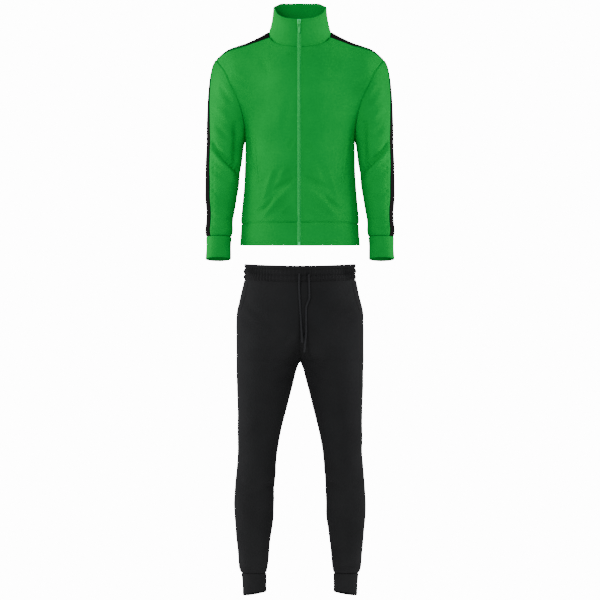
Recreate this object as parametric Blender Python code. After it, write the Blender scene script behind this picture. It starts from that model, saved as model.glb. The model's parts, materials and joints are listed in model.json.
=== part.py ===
"""A track suit: a zipped jacket over a pair of joggers, both filled out and open at neck, hems and cuffs.

All sizes are in millimetres until a mesh is made. +Z is up and the front faces -Y. The origin is where the
shoulders carry the jacket. Left and right are the wearer's, so the left side is at +X.
"""

import math

import bmesh
import bpy
import numpy as np

for old in list(bpy.data.objects):
    bpy.data.objects.remove(old, do_unlink=True)

# Driving dimensions
MM = 0.001
CLOTH = 1.8
DOUBLE_CLOTH = 3.0
SEAM = 0.3

# Rows and columns of cells in the walls
NECK_CELLS = 5
SHOULDER_CELLS = 5
FRONT_CELLS = NECK_CELLS + SHOULDER_CELLS
ARMHOLE_CELLS = 8
STRIPE_CELLS = 2
BODY_CELLS = 8
CAP_CELLS = 7
SLEEVE_CELLS = 15
COLLAR_CELLS = 5
LEG_PANEL_CELLS = 7
GATHERS = 88

# Heights of the seams
ARMPIT = -316.0
HEM_SEAM = -580.0
HEM_EDGE = -647.0
CUFF_SEAM = -620.0
CUFF_EDGE = -691.0
BICEPS = -345.0
WAIST_SEAM = -755.1
CROTCH = -1012.7
ANKLE_SEAM = -1678.0
ANKLE_EDGE = -1743.0

# The zip, which lies a little towards the wearer's right of the middle
ZIP_RIGHT = -8.8
ZIP_LEFT = 2.8
ZIP_MIDDLE = (ZIP_RIGHT + ZIP_LEFT) / 2
TAPE = 2.0
TAPE_SINK = 0.4

# The slider and its pull tab, in their own frame: +Z up the zip, -Y out of the cloth
SLIDER_WIDTH = 12.0
SLIDER_LENGTH = 16.5
SLIDER_PLATE = 3.0
SLIDER_LIFT = 0.35
SLIDER_DROP = 0.8
PIN_DROP = 7.0
PIN_RADIUS = 0.9
BARREL_RADIUS = 2.0
BARREL_BORE = 1.25
BARREL_WIDTH = 4.6
LUG = 1.4
PLAY = 0.3
TAB_LENGTH = 37.0
TAB_WIDTH = 8.0
TAB = 1.5
TAB_STEP = 0.35
BOX_WIDTH = 8.0
BOX_HEIGHT = 12.0
BOX_DEPTH = 3.0

# Edges of the side pockets, which stand clear of the facets of the panels
POCKET_EDGE = 1.2
POCKET_CLEAR = 0.45

# Drawcord
CORD_RADIUS = 3.1
CORD_STEP = 14.0


def table(columns, *rows):
    """The named columns of a table whose first column rises from row to row."""
    return dict(zip(columns.split(), np.array(rows, float).T))


def read(rows, column, where):
    """A column's value between the rows, on a cubic curve that never overshoots them."""
    xs = next(iter(rows.values()))
    ys = rows[column]
    where = np.clip(np.asarray(where, float), xs[0], xs[-1])
    step = np.diff(xs)
    slope = np.diff(ys) / step
    total = slope[:-1] + slope[1:]
    product = slope[:-1] * slope[1:]
    inner = np.divide(2 * product, total, out=np.zeros_like(total), where=product > 0)
    tangent = np.concatenate([slope[:1], inner, slope[-1:]])
    cell = np.clip(np.searchsorted(xs, where, side="right") - 1, 0, len(step) - 1)
    u = (where - xs[cell]) / step[cell]
    start = (1 + 2 * u) * (1 - u) ** 2 * ys[cell] + u**2 * (3 - 2 * u) * ys[cell + 1]
    lean = u * (1 - u) ** 2 * tangent[cell] - u**2 * (1 - u) * tangent[cell + 1]
    return start + lean * step[cell]


# Jacket, from its hem to the armholes: quarter sections from the middle to the side seam
BODY = table(
    "height half_width front back squareness",
    (-660, 190, 113, 108, 2.25),
    (-645, 189, 114, 109, 2.25),
    (-612, 187, 118, 112, 2.25),
    (-580, 184, 120, 114, 2.25),
    (-560, 184, 123, 116, 2.25),
    (-498, 179, 121, 111, 2.3),
    (-422, 174, 120, 109, 2.35),
    (-316, 172, 124, 114, 2.35),
)

# How far the middle of the body lies in front and behind, from the armholes to the neck
MIDDLE = table(
    "share front back",
    (0.00, 124, 114),
    (0.25, 127, 122),
    (0.50, 124, 124),
    (0.75, 112, 112),
    (0.90, 97, 92),
    (1.00, 86, 76),
)

# Armhole seam, from the armpit to the stripe on the shoulder
ARMHOLE = table(
    "height front_x front_y back_x back_y",
    (-316, 172, 0, 172, 0),
    (-306, 172.5, -19, 174, 22),
    (-285, 173, -38, 179, 44),
    (-240, 180, -59, 193, 68),
    (-195, 193, -68, 209, 79),
    (-151, 215, -64, 227, 76),
    (-123, 226, -54, 236, 70),
    (-94, 240, -38, 246, 59),
    (-64, 264, -4, 259, 39),
)

# Top of the shoulder, as the front view shows it, with the drop from there to each edge of the stripe
RIDGE = table(
    "x height front_drop back_drop front_y middle_y back_y",
    (98, 24, 18.5, 0, -26, -5, 16),
    (118, 14, 14, 1, -27, -5, 17),
    (143, 0.6, 11, 2, -26, -4, 20),
    (175, -12, 9, 3, -24, -2, 24),
    (215, -25.2, 7.5, 4, -18, 3, 29),
    (241, -38, 4, 4, -11, 10, 34),
    (264, -62, 0, 3, -4, 17, 39),
)

# Neck seam round the wearer's left half, by the angle from the middle of the front
NECK = table(
    "angle height",
    (0, -26),
    (30, -20),
    (60, -4),
    (75, 5.5),
    (90, 24),
    (105, 26),
    (130, 31),
    (180, 34),
)
NECK_HALF_WIDTH = 98.0
NECK_FRONT = 86.0
NECK_BACK = 76.0
NECK_STRIPE = (75.0, 90.0, 105.0)

# Upper rim of the collar, by the same angle
RIM = table(
    "angle height",
    (0, 61),
    (25, 65),
    (50, 76),
    (61, 84),
    (73, 96),
    (90, 103),
    (116, 110),
    (134, 118),
    (180, 120),
)
RIM_HALF_WIDTH = 84.0
RIM_FRONT = 73.0
RIM_BACK = 62.0

# Sleeve below the armpit: the centre and half sizes of its sections, and the rise of their front edge
SLEEVE = table(
    "height centre_x centre_y half_width half_depth rise",
    (-691, 256.5, -27, 40.5, 33, 6.3),
    (-655, 256, -26, 39, 34, 5),
    (-628, 255.6, -24, 38.5, 35, 3),
    (-620, 255.2, -24, 40, 37, 3),
    (-609, 254.4, -23, 43.5, 42, 2),
    (-573, 252.8, -20, 42, 45, 0),
    (-535, 249.6, -17, 45, 49, 0),
    (-498, 248, -13, 49.6, 53, 0),
    (-460, 245, -9, 52.8, 57, 0),
    (-422, 243.3, -5, 54.3, 60, 0),
    (-384, 240, -1, 57.5, 64, 0),
    (-345, 236.5, 2, 58.5, 68, 0),
)

# Edges of the sleeve's stripe, as angles from the underarm seam round the front
SLEEVE_STRIPE = table(
    "height front_edge back_edge",
    (-691, 131, 184),
    (-600, 132, 184),
    (-480, 137, 184),
    (-345, 143, 190),
)

# Trousers from the crotch to the waist seam, where share says how far the legs have parted
HIPS = table(
    "height half_width front back parted",
    (-1012.7, 200.6, 104, 114, 1.0),
    (-1004, 200.8, 105, 117, 0.975),
    (-990, 200.8, 107, 121, 0.92),
    (-965, 200.8, 110, 128, 0.80),
    (-930, 200.8, 114, 134, 0.55),
    (-880, 200.8, 118, 136, 0.2),
    (-857, 199.5, 119, 133, 0.1),
    (-838, 196, 119, 129, 0.05),
    (-819, 190, 118, 124, 0),
    (-781, 182, 116, 118, 0),
    (-755.1, 175.5, 112, 113, 0),
)

# Legs below the crotch
LEG = table(
    "height centre half_width front back",
    (-1743, 142.8, 37.5, 37, 37),
    (-1700, 143.5, 38, 38, 38),
    (-1684, 144.5, 38, 38, 38),
    (-1678, 145.3, 39.5, 40, 41),
    (-1668, 146.5, 43.5, 44, 46),
    (-1651, 147, 46.5, 46, 50),
    (-1613, 147, 49.6, 50, 55),
    (-1575, 145.7, 54.3, 54, 61),
    (-1537, 145.7, 57.5, 58, 67),
    (-1499, 144.5, 62.2, 61, 71),
    (-1462, 145, 63.8, 63, 72),
    (-1424, 144, 62.2, 65, 71),
    (-1386, 141, 62.2, 67, 70),
    (-1310, 134.7, 62.2, 71, 72),
    (-1235, 128.4, 68.5, 78, 79),
    (-1159, 118.9, 78, 88, 91),
    (-1084, 111, 89, 98, 103),
    (-1046, 106.3, 93.7, 102, 109),
    (-1012.7, 100.3, 100.3, 104, 114),
)

# Waistband: how far its casing swells out and how deep its gathers are
WAISTBAND = table(
    "height swell gather",
    (-755.1, 0.0, 0.5),
    (-738.5, 4.0, 2.0),
    (-720.5, 0.0, 1.2),
    (-705.5, 1.0, 1.2),
)
WAIST_HALF_WIDTH = 173.5
WAIST_FRONT = 111.0
WAIST_BACK = 112.0
WAIST_DIP = 6.0

# Largest folds: where each starts and ends, how deep its trough is and how wide
SLEEVE_FOLDS = table(
    "order start_angle start_height end_angle end_height depth half_width",
    (0, 130, -326, 40, -412, 6.0, 17),
    (1, 120, -352, 50, -432, -3.5, 16),
    (2, 300, -350, 350, -420, 4.0, 18),
)
FRONT_FOLDS = table(
    "order start_x start_height end_x end_height depth half_width",
    (0, 20, -436, 86, -478, 2.2, 14),
    (1, 18, -456, 112, -556, -2.2, 14),
    (2, 60, -486, 140, -552, 2.0, 15),
    (3, 150, -330, 118, -440, 2.5, 18),
)


def between(a, b, count):
    """Shares from a to b, for this many cells."""
    return np.linspace(a, b, count + 1)


def mirrored(points):
    """The same wall on the wearer's right."""
    return points[:, ::-1] * np.array([-1.0, 1.0, 1.0])


def quarter(half_width, depth, squareness, shares, edge=0.0):
    """x and y of a quarter section, from the middle of the body to its side seam."""
    angle = shares * math.pi / 2
    x = edge + (half_width - edge) * np.sin(angle) ** (2 / squareness)
    y = depth * np.cos(angle).clip(0) ** (2 / squareness)
    return x, y


def hem_bow(height, x, y):
    """The hem hangs a little lower in the middle of the front, and its seam a little higher."""
    low = np.clip((height - HEM_SEAM) / (HEM_EDGE - HEM_SEAM), 0, 1)
    fade = np.clip((height - HEM_SEAM - 60) / -60, 0, 1)
    middle = np.clip(1 - (x / 186) ** 2, 0, 1) * (y < 0)
    return height + middle * (4 * fade * (1 - low) - 2.5 * low)


def body_rows(heights, side, edge):
    """Rows of points below the armhole, side being front or back."""
    shares = between(0, 1, FRONT_CELLS)
    rows = []
    for height in heights:
        x, y = quarter(read(BODY, "half_width", height), read(BODY, side, height),
                       read(BODY, "squareness", height), shares, edge)
        if side == "front":
            y = -y
        rows.append(np.stack([x, y, hem_bow(height, x, y)], axis=-1))
    return np.array(rows)


def neck_point(angle, edge=0.0):
    """A point of the neck seam on the wearer's left."""
    around = math.radians(angle)
    depth = NECK_FRONT if angle < 90 else NECK_BACK
    x = edge * max(1 - angle / NECK_STRIPE[0], 0.0) + NECK_HALF_WIDTH * math.sin(around)
    y = -5 - (depth - 5 * (1 if angle < 90 else -1)) * math.cos(around)
    return np.array([x, y, float(read(NECK, "height", angle))])


def shoulder_lines():
    """Front edge, middle and back edge of the shoulder stripe, from the neck to the armhole."""
    lines = []
    for place, angle in zip(("front", "middle", "back"), NECK_STRIPE):
        x = np.linspace(RIDGE["x"][0], RIDGE["x"][-1], SHOULDER_CELLS + 1)
        drop = 0 if place == "middle" else read(RIDGE, place + "_drop", x)
        line = np.stack([x, read(RIDGE, place + "_y", x), read(RIDGE, "height", x) - drop], axis=-1)
        line[0] = neck_point(angle)
        line[-1] = tip_point(place)
        lines.append(line)
    return lines


def tip_point(place):
    """Where an edge of the stripe meets the armhole."""
    if place == "front":
        return armhole_points("front")[-1]
    if place == "back":
        return armhole_points("back")[-1]
    return np.array([264.5, 17.0, -61.5])


def armhole_shares():
    """Shares of the armhole's height, closer together near both ends."""
    return (1 - np.cos(between(0, math.pi, ARMHOLE_CELLS))) / 2


def armhole_points(side):
    """The armhole seam from the armpit up to the stripe."""
    heights = ARMPIT + (ARMHOLE["height"][-1] - ARMPIT) * armhole_shares()
    return np.stack([read(ARMHOLE, side + "_x", heights), read(ARMHOLE, side + "_y", heights), heights],
                    axis=-1)


def upper_rows(side, edge):
    """Rows of points from the armpit up to the neck seam and the shoulder stripe."""
    bottom = body_rows([ARMPIT], side, edge)[0]
    stripe = shoulder_lines()[0 if side == "front" else 2]
    if side == "front":
        angles = between(0, NECK_STRIPE[0], NECK_CELLS)
    else:
        angles = between(180, NECK_STRIPE[2], NECK_CELLS)
    neck = np.array([neck_point(angle, edge) for angle in angles])
    top = np.concatenate([neck, stripe[1:]])
    outer = armhole_points(side)
    across = between(0, 1, FRONT_CELLS)
    rows = []
    for share, seam in zip(armhole_shares(), outer):
        full = (1 - share**2.6) ** (1 / 1.7)
        row = bottom + (top - bottom) * share
        row[:, 1] = top[:, 1] + (bottom[:, 1] - top[:, 1]) * full
        middle_y = float(read(MIDDLE, side, share)) * (-1 if side == "front" else 1)
        row[:, 1] += (1 - across) ** 2 * (middle_y - row[0, 1])
        row += across[:, None] ** 3 * (seam - row[-1])
        rows.append(row)
    rows[-1] = top
    return np.array(rows)


def folded(points, folds, first, second, margin=1):
    """Troughs and ridges pressed into a wall along straight lines between two of its own measures."""
    normals = grid_normals(points)
    rows, columns = points.shape[:2]
    for k in range(len(folds["order"])):
        start = np.array([folds["start_" + first][k], folds["start_" + second][k]])
        end = np.array([folds["end_" + first][k], folds["end_" + second][k]])
        here = np.stack([measure(points, first), points[..., 2]], axis=-1)
        scale = np.array([1.1 if first == "angle" else 1.0, 1.0])
        line = (end - start) * scale
        offset = (here - start) * scale
        along = (offset @ line) / (line @ line)
        away = np.linalg.norm(offset - np.clip(along, 0, 1)[..., None] * line, axis=-1)
        press = folds["depth"][k] * np.exp(-((away / folds["half_width"][k]) ** 2))
        edge = np.ones((rows, columns))
        edge[:margin] = edge[rows - margin:] = 0
        edge[:, :margin] = edge[:, columns - margin:] = 0
        points = points - normals * (press * edge)[..., None]
    return points


def measure(points, name):
    """x of each point, or its angle round the sleeve from the underarm seam."""
    if name == "x":
        return np.abs(points[..., 0])
    dx = points[..., 0] - read(SLEEVE, "centre_x", points[..., 2])
    dy = points[..., 1] - read(SLEEVE, "centre_y", points[..., 2])
    return np.degrees(np.arctan2(-dy, -dx)) % 360


def grid_normals(points):
    """Outward normals of a grid whose columns run anticlockwise and whose rows run up."""
    across = np.gradient(points, axis=1)
    up = np.gradient(points, axis=0)
    normals = np.cross(across, up)
    return normals / np.linalg.norm(normals, axis=-1, keepdims=True).clip(1e-9)


def front_panel(edge):
    """One front, from the hem seam to the neck and the shoulder stripe."""
    heights = between(HEM_SEAM, ARMPIT, BODY_CELLS)
    grid = np.concatenate([body_rows(heights, "front", edge), upper_rows("front", edge)[1:]])
    return folded(grid, FRONT_FOLDS, "x", "height")


def back_panel():
    """The back, from the wearer's left side seam round to the right one."""
    heights = between(HEM_SEAM, ARMPIT, BODY_CELLS)
    half = np.concatenate([body_rows(heights, "back", 0.0), upper_rows("back", 0.0)[1:]])[:, ::-1]
    return np.concatenate([half, mirrored(half)[:, 1:]], axis=1)


def hem_band():
    """The band round the hem, open where the zip runs through it."""
    heights = between(HEM_EDGE, HEM_SEAM, 2)
    left = body_rows(heights, "front", ZIP_LEFT)
    back = body_rows(heights, "back", 0.0)[:, ::-1]
    right = mirrored(body_rows(heights, "front", -ZIP_RIGHT))
    return np.concatenate([left, back[:, 1:], mirrored(back)[:, 1:], right[:, 1:]], axis=1)


def sleeve_ring(height):
    """One section of the sleeve, from the underarm seam round the front."""
    front_edge = float(read(SLEEVE_STRIPE, "front_edge", height))
    back_edge = float(read(SLEEVE_STRIPE, "back_edge", height))
    angles = np.concatenate([
        between(0, front_edge, ARMHOLE_CELLS)[:-1],
        between(front_edge, back_edge, STRIPE_CELLS)[:-1],
        between(back_edge, 360, ARMHOLE_CELLS),
    ])
    around = np.radians(angles)
    x = read(SLEEVE, "centre_x", height) - read(SLEEVE, "half_width", height) * np.cos(around)
    y = read(SLEEVE, "centre_y", height) - read(SLEEVE, "half_depth", height) * np.sin(around)
    z = height + read(SLEEVE, "rise", height) * np.sin(around)
    return np.stack([x, y, z], axis=-1)


def armhole_ring():
    """The armhole from the armpit up its front, over the stripe and down its back."""
    stripe = [line[-1] for line in shoulder_lines()]
    front = armhole_points("front")
    back = armhole_points("back")[::-1]
    return np.concatenate([front, [stripe[1]], back])


def sleeve():
    """The whole sleeve, from the cuff seam up to the armhole."""
    rings = [sleeve_ring(height) for height in between(CUFF_SEAM, BICEPS, SLEEVE_CELLS)]
    top = armhole_ring()
    low = rings[-1]
    count = len(top)
    lift = np.sin(math.pi * np.arange(count) / (count - 1))[:, None]
    outward = np.array([0.74, 0.0, -0.67]) * lift ** 0.8 + np.array([0.0, 0.0, -1.0]) * (1 - lift ** 0.8)
    outward[:, 1] += 0.25 * (top[:, 1] - 8) / 76 * lift[:, 0]
    outward /= np.linalg.norm(outward, axis=1, keepdims=True)
    reach = np.linalg.norm(low - top, axis=1, keepdims=True)
    first = top + outward * reach * 0.14
    second = low + np.array([0.0, 0.0, 1.0]) * reach * 0.36
    for u in between(0, 1, CAP_CELLS)[1:]:
        v = 1 - u
        rings.append(low * v**3 + 3 * second * v**2 * u + 3 * first * v * u**2 + top * u**3)
    grid = np.array(rings)
    return folded(grid, SLEEVE_FOLDS, "angle", "height")


def cuff():
    """The cuff of a sleeve."""
    return np.array([sleeve_ring(height) for height in between(CUFF_EDGE, CUFF_SEAM, 2)])


def collar():
    """The stand collar, from the left tape of the zip round the neck to the right one."""
    left = between(0, NECK_STRIPE[0], NECK_CELLS)
    stripe = between(NECK_STRIPE[0], NECK_STRIPE[2], STRIPE_CELLS)
    back = between(NECK_STRIPE[2], 180, NECK_CELLS)
    angles = np.concatenate([left[:-1], stripe[:-1], back])
    rows = []
    for up in between(0, 1, COLLAR_CELLS):
        half = {}
        for side, edge in (("left", ZIP_LEFT), ("right", -ZIP_RIGHT)):
            half[side] = np.array([collar_point(angle, up, edge) for angle in angles])
        right = half["right"][::-1] * np.array([-1.0, 1.0, 1.0])
        rows.append(np.concatenate([half["left"], right[1:]]))
    return np.array(rows)


def collar_point(angle, up, edge):
    """A point of the collar, which is widest at the neck seam and stands upright above it."""
    low = neck_point(angle, edge)
    around = math.radians(angle)
    depth = RIM_FRONT if angle < 90 else RIM_BACK
    x = edge * max(1 - angle / NECK_STRIPE[0], 0.0) + RIM_HALF_WIDTH * math.sin(around)
    y = -3 - (depth - 3 * (1 if angle < 90 else -1)) * math.cos(around)
    rim = np.array([x, y, float(read(RIM, "height", angle))])
    flare = (1 - up) ** 3
    point = rim + (low - rim) * (0.45 * (1 - up) + 0.55 * flare)
    point[2] = low[2] + (rim[2] - low[2]) * up
    return point


def zip_line(edge):
    """The line that a front's edge takes from the hem to the collar's rim, at x = edge."""
    side = ZIP_LEFT if edge > 0 else -ZIP_RIGHT
    hem = body_rows(between(HEM_EDGE, HEM_SEAM, 2)[:-1], "front", side)[:, 0]
    front = front_panel(side)[:-1, 0]
    top = np.array([collar_point(0, up, side) for up in between(0, 1, COLLAR_CELLS)])
    line = np.concatenate([hem, front, top])
    line[:, 0] = edge
    return line


def tape(outer, inner):
    """Half of the zip, between a front's edge and the middle of the zip."""
    line = zip_line(outer)
    line[:, 1] += TAPE_SINK
    middle = line.copy()
    middle[:, 0] = inner
    pair = [line, middle] if outer < inner else [middle, line]
    return np.stack(pair, axis=1)


def leg_rows(heights, side):
    """Rows of a trouser panel, from the middle seam or the inseam to the side seam."""
    shares = between(0, 1, LEG_PANEL_CELLS)
    rows = []
    for height in heights:
        above = height >= CROTCH
        rows_table = HIPS if above else LEG
        depth = float(read(rows_table, side, height))
        if above:
            half_width = float(read(HIPS, "half_width", height))
            parted = float(read(HIPS, "parted", height))
            centre = parted * half_width / 2
            radius = half_width - centre
            start = -math.asin(min(1.0, centre / radius))
            power = 2 / (2.0 + 0.35 * (1 - parted))
        else:
            centre = float(read(LEG, "centre", height))
            radius = float(read(LEG, "half_width", height))
            start = -math.pi / 2
            power = 1.0
        angle = start + (math.pi / 2 - start) * shares
        turn = np.sin(angle)
        x = centre + radius * np.sign(turn) * np.abs(turn) ** power
        x[0] = max(x[0], 0.0) if above else x[0]
        y = depth * np.abs(np.cos(angle)) ** power
        y[-1] = 0.0
        if side == "front":
            y = -y
        z = height + 0 * x
        if height >= WAIST_SEAM:
            z = z - WAIST_DIP * (1 - (x / WAIST_HALF_WIDTH).clip(0, 1) ** 2)
        rows.append(np.stack([x, y, z], axis=-1))
    return np.array(rows)


def trouser_heights():
    """Heights of the rows from the ankle seam to the waist seam."""
    ankle = np.array([ANKLE_SEAM, -1668.0, -1651.0])
    leg = between(-1651, -1046, 12)[1:]
    crotch = np.array([-1027.0, CROTCH, -1004.0, -990.0, -965.0, -930.0])
    hips = between(-930, WAIST_SEAM, 5)[1:]
    return np.concatenate([ankle, leg, crotch, hips])


def waistband():
    """The gathered waistband, a whole ring."""
    columns = 2 * GATHERS
    around = 2 * math.pi * np.arange(columns) / columns
    power = 2 / 2.35
    rows = []
    relief = []
    for height in WAISTBAND["height"]:
        swell = float(read(WAISTBAND, "swell", height))
        turn = np.sin(around)
        facing = np.cos(around)
        depth = np.where(facing > 0, WAIST_FRONT, WAIST_BACK) + swell
        x = (WAIST_HALF_WIDTH + swell) * np.sign(turn) * np.abs(turn) ** power
        y = -depth * np.sign(facing) * np.abs(facing) ** power
        z = height - WAIST_DIP * (1 - (x / (WAIST_HALF_WIDTH + swell)) ** 2)
        rows.append(np.stack([x, y, z], axis=-1))
        wave = float(read(WAISTBAND, "gather", height))
        relief.append(wave * np.where(np.arange(columns) % 2 == 0, 0.5, -0.5))
    return np.array(rows), np.array(relief)


def ankle_cuff():
    """The cuff of a leg, whose rim rises towards the other leg."""
    rows = []
    for height in between(ANKLE_EDGE, ANKLE_SEAM, 2):
        front = leg_rows([height], "front")[0]
        back = leg_rows([height], "back")[0][::-1]
        ring = np.concatenate([front, back[1:-1]])
        low = (ANKLE_SEAM - height) / (ANKLE_SEAM - ANKLE_EDGE)
        ring[:, 2] += low * (-6.0 * (ring[:, 0] - 142.8) / 37.5 - 6.5 * ring[:, 1] / 37.0)
        rows.append(ring)
    return np.array(rows)


def on_panel(grid, line, width, lift):
    """A narrow strip of points along a line of x and height on a panel, moved out from it."""
    normals = grid_normals(grid)
    heights = grid[:, :, 2]
    rows = []
    for x, height in line:
        row = []
        for place in (x - width / 2, x + width / 2):
            level = np.array([np.interp(height, heights[:, j], np.arange(len(grid)))
                              for j in range(grid.shape[1])])
            xs = np.array([sample(grid, level[j], j)[0] for j in range(grid.shape[1])])
            column = np.interp(place, xs, np.arange(grid.shape[1]))
            up = np.interp(column, np.arange(grid.shape[1]), level)
            row.append(sample(grid, up, column) + sample(normals, up, column) * lift)
        rows.append(row)
    return np.array(rows)


def sample(grid, row, column):
    """The grid's value between its points."""
    i = int(min(row, grid.shape[0] - 2))
    j = int(min(column, grid.shape[1] - 2))
    u, v = row - i, column - j
    low = grid[i, j] * (1 - v) + grid[i, j + 1] * v
    high = grid[i + 1, j] * (1 - v) + grid[i + 1, j + 1] * v
    return low * (1 - u) + high * u


def material(name, colour, roughness, metallic=0.0):
    """One plain material."""
    made = bpy.data.materials.new(name)
    made.use_nodes = True
    shader = made.node_tree.nodes["Principled BSDF"]
    shader.inputs["Base Color"].default_value = (*colour, 1.0)
    shader.inputs["Roughness"].default_value = roughness
    shader.inputs["Metallic"].default_value = metallic
    return made


def add_object(name, vertices, faces, looks):
    """A mesh object from points in millimetres."""
    mesh = bpy.data.meshes.new(name)
    mesh.from_pydata((np.asarray(vertices) * MM).tolist(), [], faces)
    shape = bmesh.new()
    shape.from_mesh(mesh)
    bmesh.ops.recalc_face_normals(shape, faces=shape.faces)
    shape.to_mesh(mesh)
    shape.free()
    mesh.materials.append(looks)
    mesh.shade_smooth()
    mesh.set_sharp_from_angle(angle=math.radians(40))
    made = bpy.data.objects.new(name, mesh)
    bpy.context.scene.collection.objects.link(made)
    return made


def pulled_back(points, normals, closed):
    """The wall's edges moved in by half a seam, square to the seam."""
    moved = points.copy()
    for edge, inner in ((0, 1), (-1, -2)):
        moved[edge] += seam_step(points[edge], points[inner], normals[edge], closed)
    if not closed:
        for edge, inner in ((0, 1), (-1, -2)):
            moved[:, edge] += seam_step(points[:, edge], points[:, inner], normals[:, edge], False)
    return moved


def seam_step(line, inner, normals, closed):
    """Half a seam's width along the cloth, away from the line of a seam."""
    if closed:
        along = np.roll(line, -1, axis=0) - np.roll(line, 1, axis=0)
    else:
        along = np.gradient(line, axis=0)
    side = np.cross(normals, along)
    side /= np.linalg.norm(side, axis=-1, keepdims=True).clip(1e-9)
    toward = np.sign(np.sum(side * (inner - line), axis=-1, keepdims=True))
    return side * toward * SEAM / 2


def seam_faces(outer, index, first, second, columns):
    """The two triangles of a wall's edge, split alike on both sides of a seam."""
    a, b = index(*first), index(*second)
    a_in, b_in = index(*first, 1), index(*second, 1)
    heights = [outer[i, j % columns, 2] for i, j in (first, second)]
    if heights[0] < heights[1] - 0.5 or abs(heights[0] - heights[1]) <= 0.5 and seam_order(outer, first, second):
        return [(a, b, b_in), (a, b_in, a_in)]
    return [(a, b, a_in), (b, b_in, a_in)]


def seam_order(outer, first, second):
    """Which of two points at one height comes first, by its y and its distance from the middle."""
    a = outer[first[0], first[1] % outer.shape[1]]
    b = outer[second[0], second[1] % outer.shape[1]]
    return a[1] + 0.3 * abs(a[0]) < b[1] + 0.3 * abs(b[0])


def wall_object(name, outer, normals, thickness, closed, looks, relief=None):
    """A closed wall of cloth between its outer points and the same points moved in."""
    inner = pulled_back(outer - normals * thickness, normals, closed)
    outer = pulled_back(outer, normals, closed)
    if relief is not None:
        outer = outer + normals * relief[..., None]
    rows, columns = outer.shape[:2]
    count = rows * columns

    def index(i, j, layer=0):
        return layer * count + i * columns + j % columns

    faces = []
    last = columns if closed else columns - 1
    for j in range(last):
        for i in range(rows - 1):
            faces.append((index(i, j), index(i, j + 1), index(i + 1, j + 1), index(i + 1, j)))
            faces.append((index(i, j, 1), index(i + 1, j, 1), index(i + 1, j + 1, 1), index(i, j + 1, 1)))
        top = rows - 1
        faces += seam_faces(outer, index, (0, j + 1), (0, j), columns)
        faces += seam_faces(outer, index, (top, j), (top, j + 1), columns)
    if not closed:
        end = columns - 1
        for i in range(rows - 1):
            faces += seam_faces(outer, index, (i, 0), (i + 1, 0), columns)
            faces += seam_faces(outer, index, (i + 1, end), (i, end), columns)
    vertices = np.concatenate([outer.reshape(-1, 3), inner.reshape(-1, 3)])
    return add_object(name, vertices, faces, looks)


def joined_normals(grids):
    """Normals of several walls, made equal wherever their points meet."""
    sums = {}
    keys = {}
    for name, (points, closed) in grids.items():
        wide = np.concatenate([points, points[:, :1]], axis=1) if closed else points
        a, b = wide[:-1, :-1], wide[:-1, 1:]
        c, d = wide[1:, 1:], wide[1:, :-1]
        face = np.cross(c - a, d - b)
        keys[name] = np.round(points * 20).astype(int)
        columns = points.shape[1]
        for i in range(face.shape[0]):
            for j in range(face.shape[1]):
                for p, q in ((i, j), (i, j + 1), (i + 1, j + 1), (i + 1, j)):
                    key = tuple(keys[name][p, q % columns])
                    sums[key] = sums.get(key, np.zeros(3)) + face[i, j]
    found = {}
    for name, (points, closed) in grids.items():
        normals = np.array([[sums[tuple(k)] for k in row] for row in keys[name]])
        found[name] = normals / np.linalg.norm(normals, axis=-1, keepdims=True).clip(1e-9)
    return found


# Materials
GREEN_KNIT = material("green_knit", (0.012, 0.30, 0.045), 0.75)
BLACK_KNIT = material("black_knit", (0.012, 0.012, 0.013), 0.8)
GREEN_TAPE = material("green_zip_tape", (0.02, 0.45, 0.09), 0.6)
GREEN_PLASTIC = material("green_plastic", (0.07, 0.62, 0.22), 0.4)


def make_jacket():
    """Every cloth wall of the jacket."""
    left_front = front_panel(ZIP_LEFT)
    right_front = mirrored(front_panel(-ZIP_RIGHT))
    stripe = np.array(shoulder_lines())
    arm = sleeve()
    front_end = ARMHOLE_CELLS
    back_start = ARMHOLE_CELLS + STRIPE_CELLS
    walls = {
        "jacket_front_left": (left_front, False, CLOTH, GREEN_KNIT),
        "jacket_front_right": (right_front, False, CLOTH, GREEN_KNIT),
        "jacket_back": (back_panel(), False, CLOTH, GREEN_KNIT),
        "shoulder_stripe_left": (stripe, False, CLOTH, BLACK_KNIT),
        "sleeve_left_front": (arm[:, :front_end + 1], False, CLOTH, GREEN_KNIT),
        "sleeve_left_stripe": (arm[:, front_end:back_start + 1], False, CLOTH, BLACK_KNIT),
        "sleeve_left_back": (arm[:, back_start:], False, CLOTH, GREEN_KNIT),
        "cuff_left": (cuff()[:, :-1], True, DOUBLE_CLOTH, GREEN_KNIT),
        "collar": (collar(), False, DOUBLE_CLOTH, GREEN_KNIT),
        "hem_band": (hem_band(), False, DOUBLE_CLOTH, GREEN_KNIT),
    }
    for name in [name for name in walls if "_left" in name and name != "jacket_front_left"]:
        points, closed, thickness, looks = walls[name]
        walls[name.replace("_left", "_right")] = (mirrored(points), closed, thickness, looks)
    normals = joined_normals({name: wall[:2] for name, wall in walls.items()})
    for name, (points, closed, thickness, looks) in walls.items():
        wall_object(name, points, normals[name], thickness, closed, looks)
    return left_front, right_front


def make_jacket_pockets(left_front, right_front):
    """The folded edge of each side pocket, on the fronts."""
    line = [(145 - 13 * share, -326 - 124 * share) for share in between(0, 1, 8)][::-1]
    for name, grid, turned in (("left", left_front, False), ("right", right_front, True)):
        base = mirrored(grid) if turned else grid
        strip = on_panel(base, line, 9.0, SEAM + POCKET_CLEAR + POCKET_EDGE)
        if turned:
            strip = mirrored(strip)
        normals = grid_normals(strip)
        wall_object(f"jacket_pocket_edge_{name}", strip, normals, POCKET_EDGE, False, GREEN_KNIT)


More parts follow.
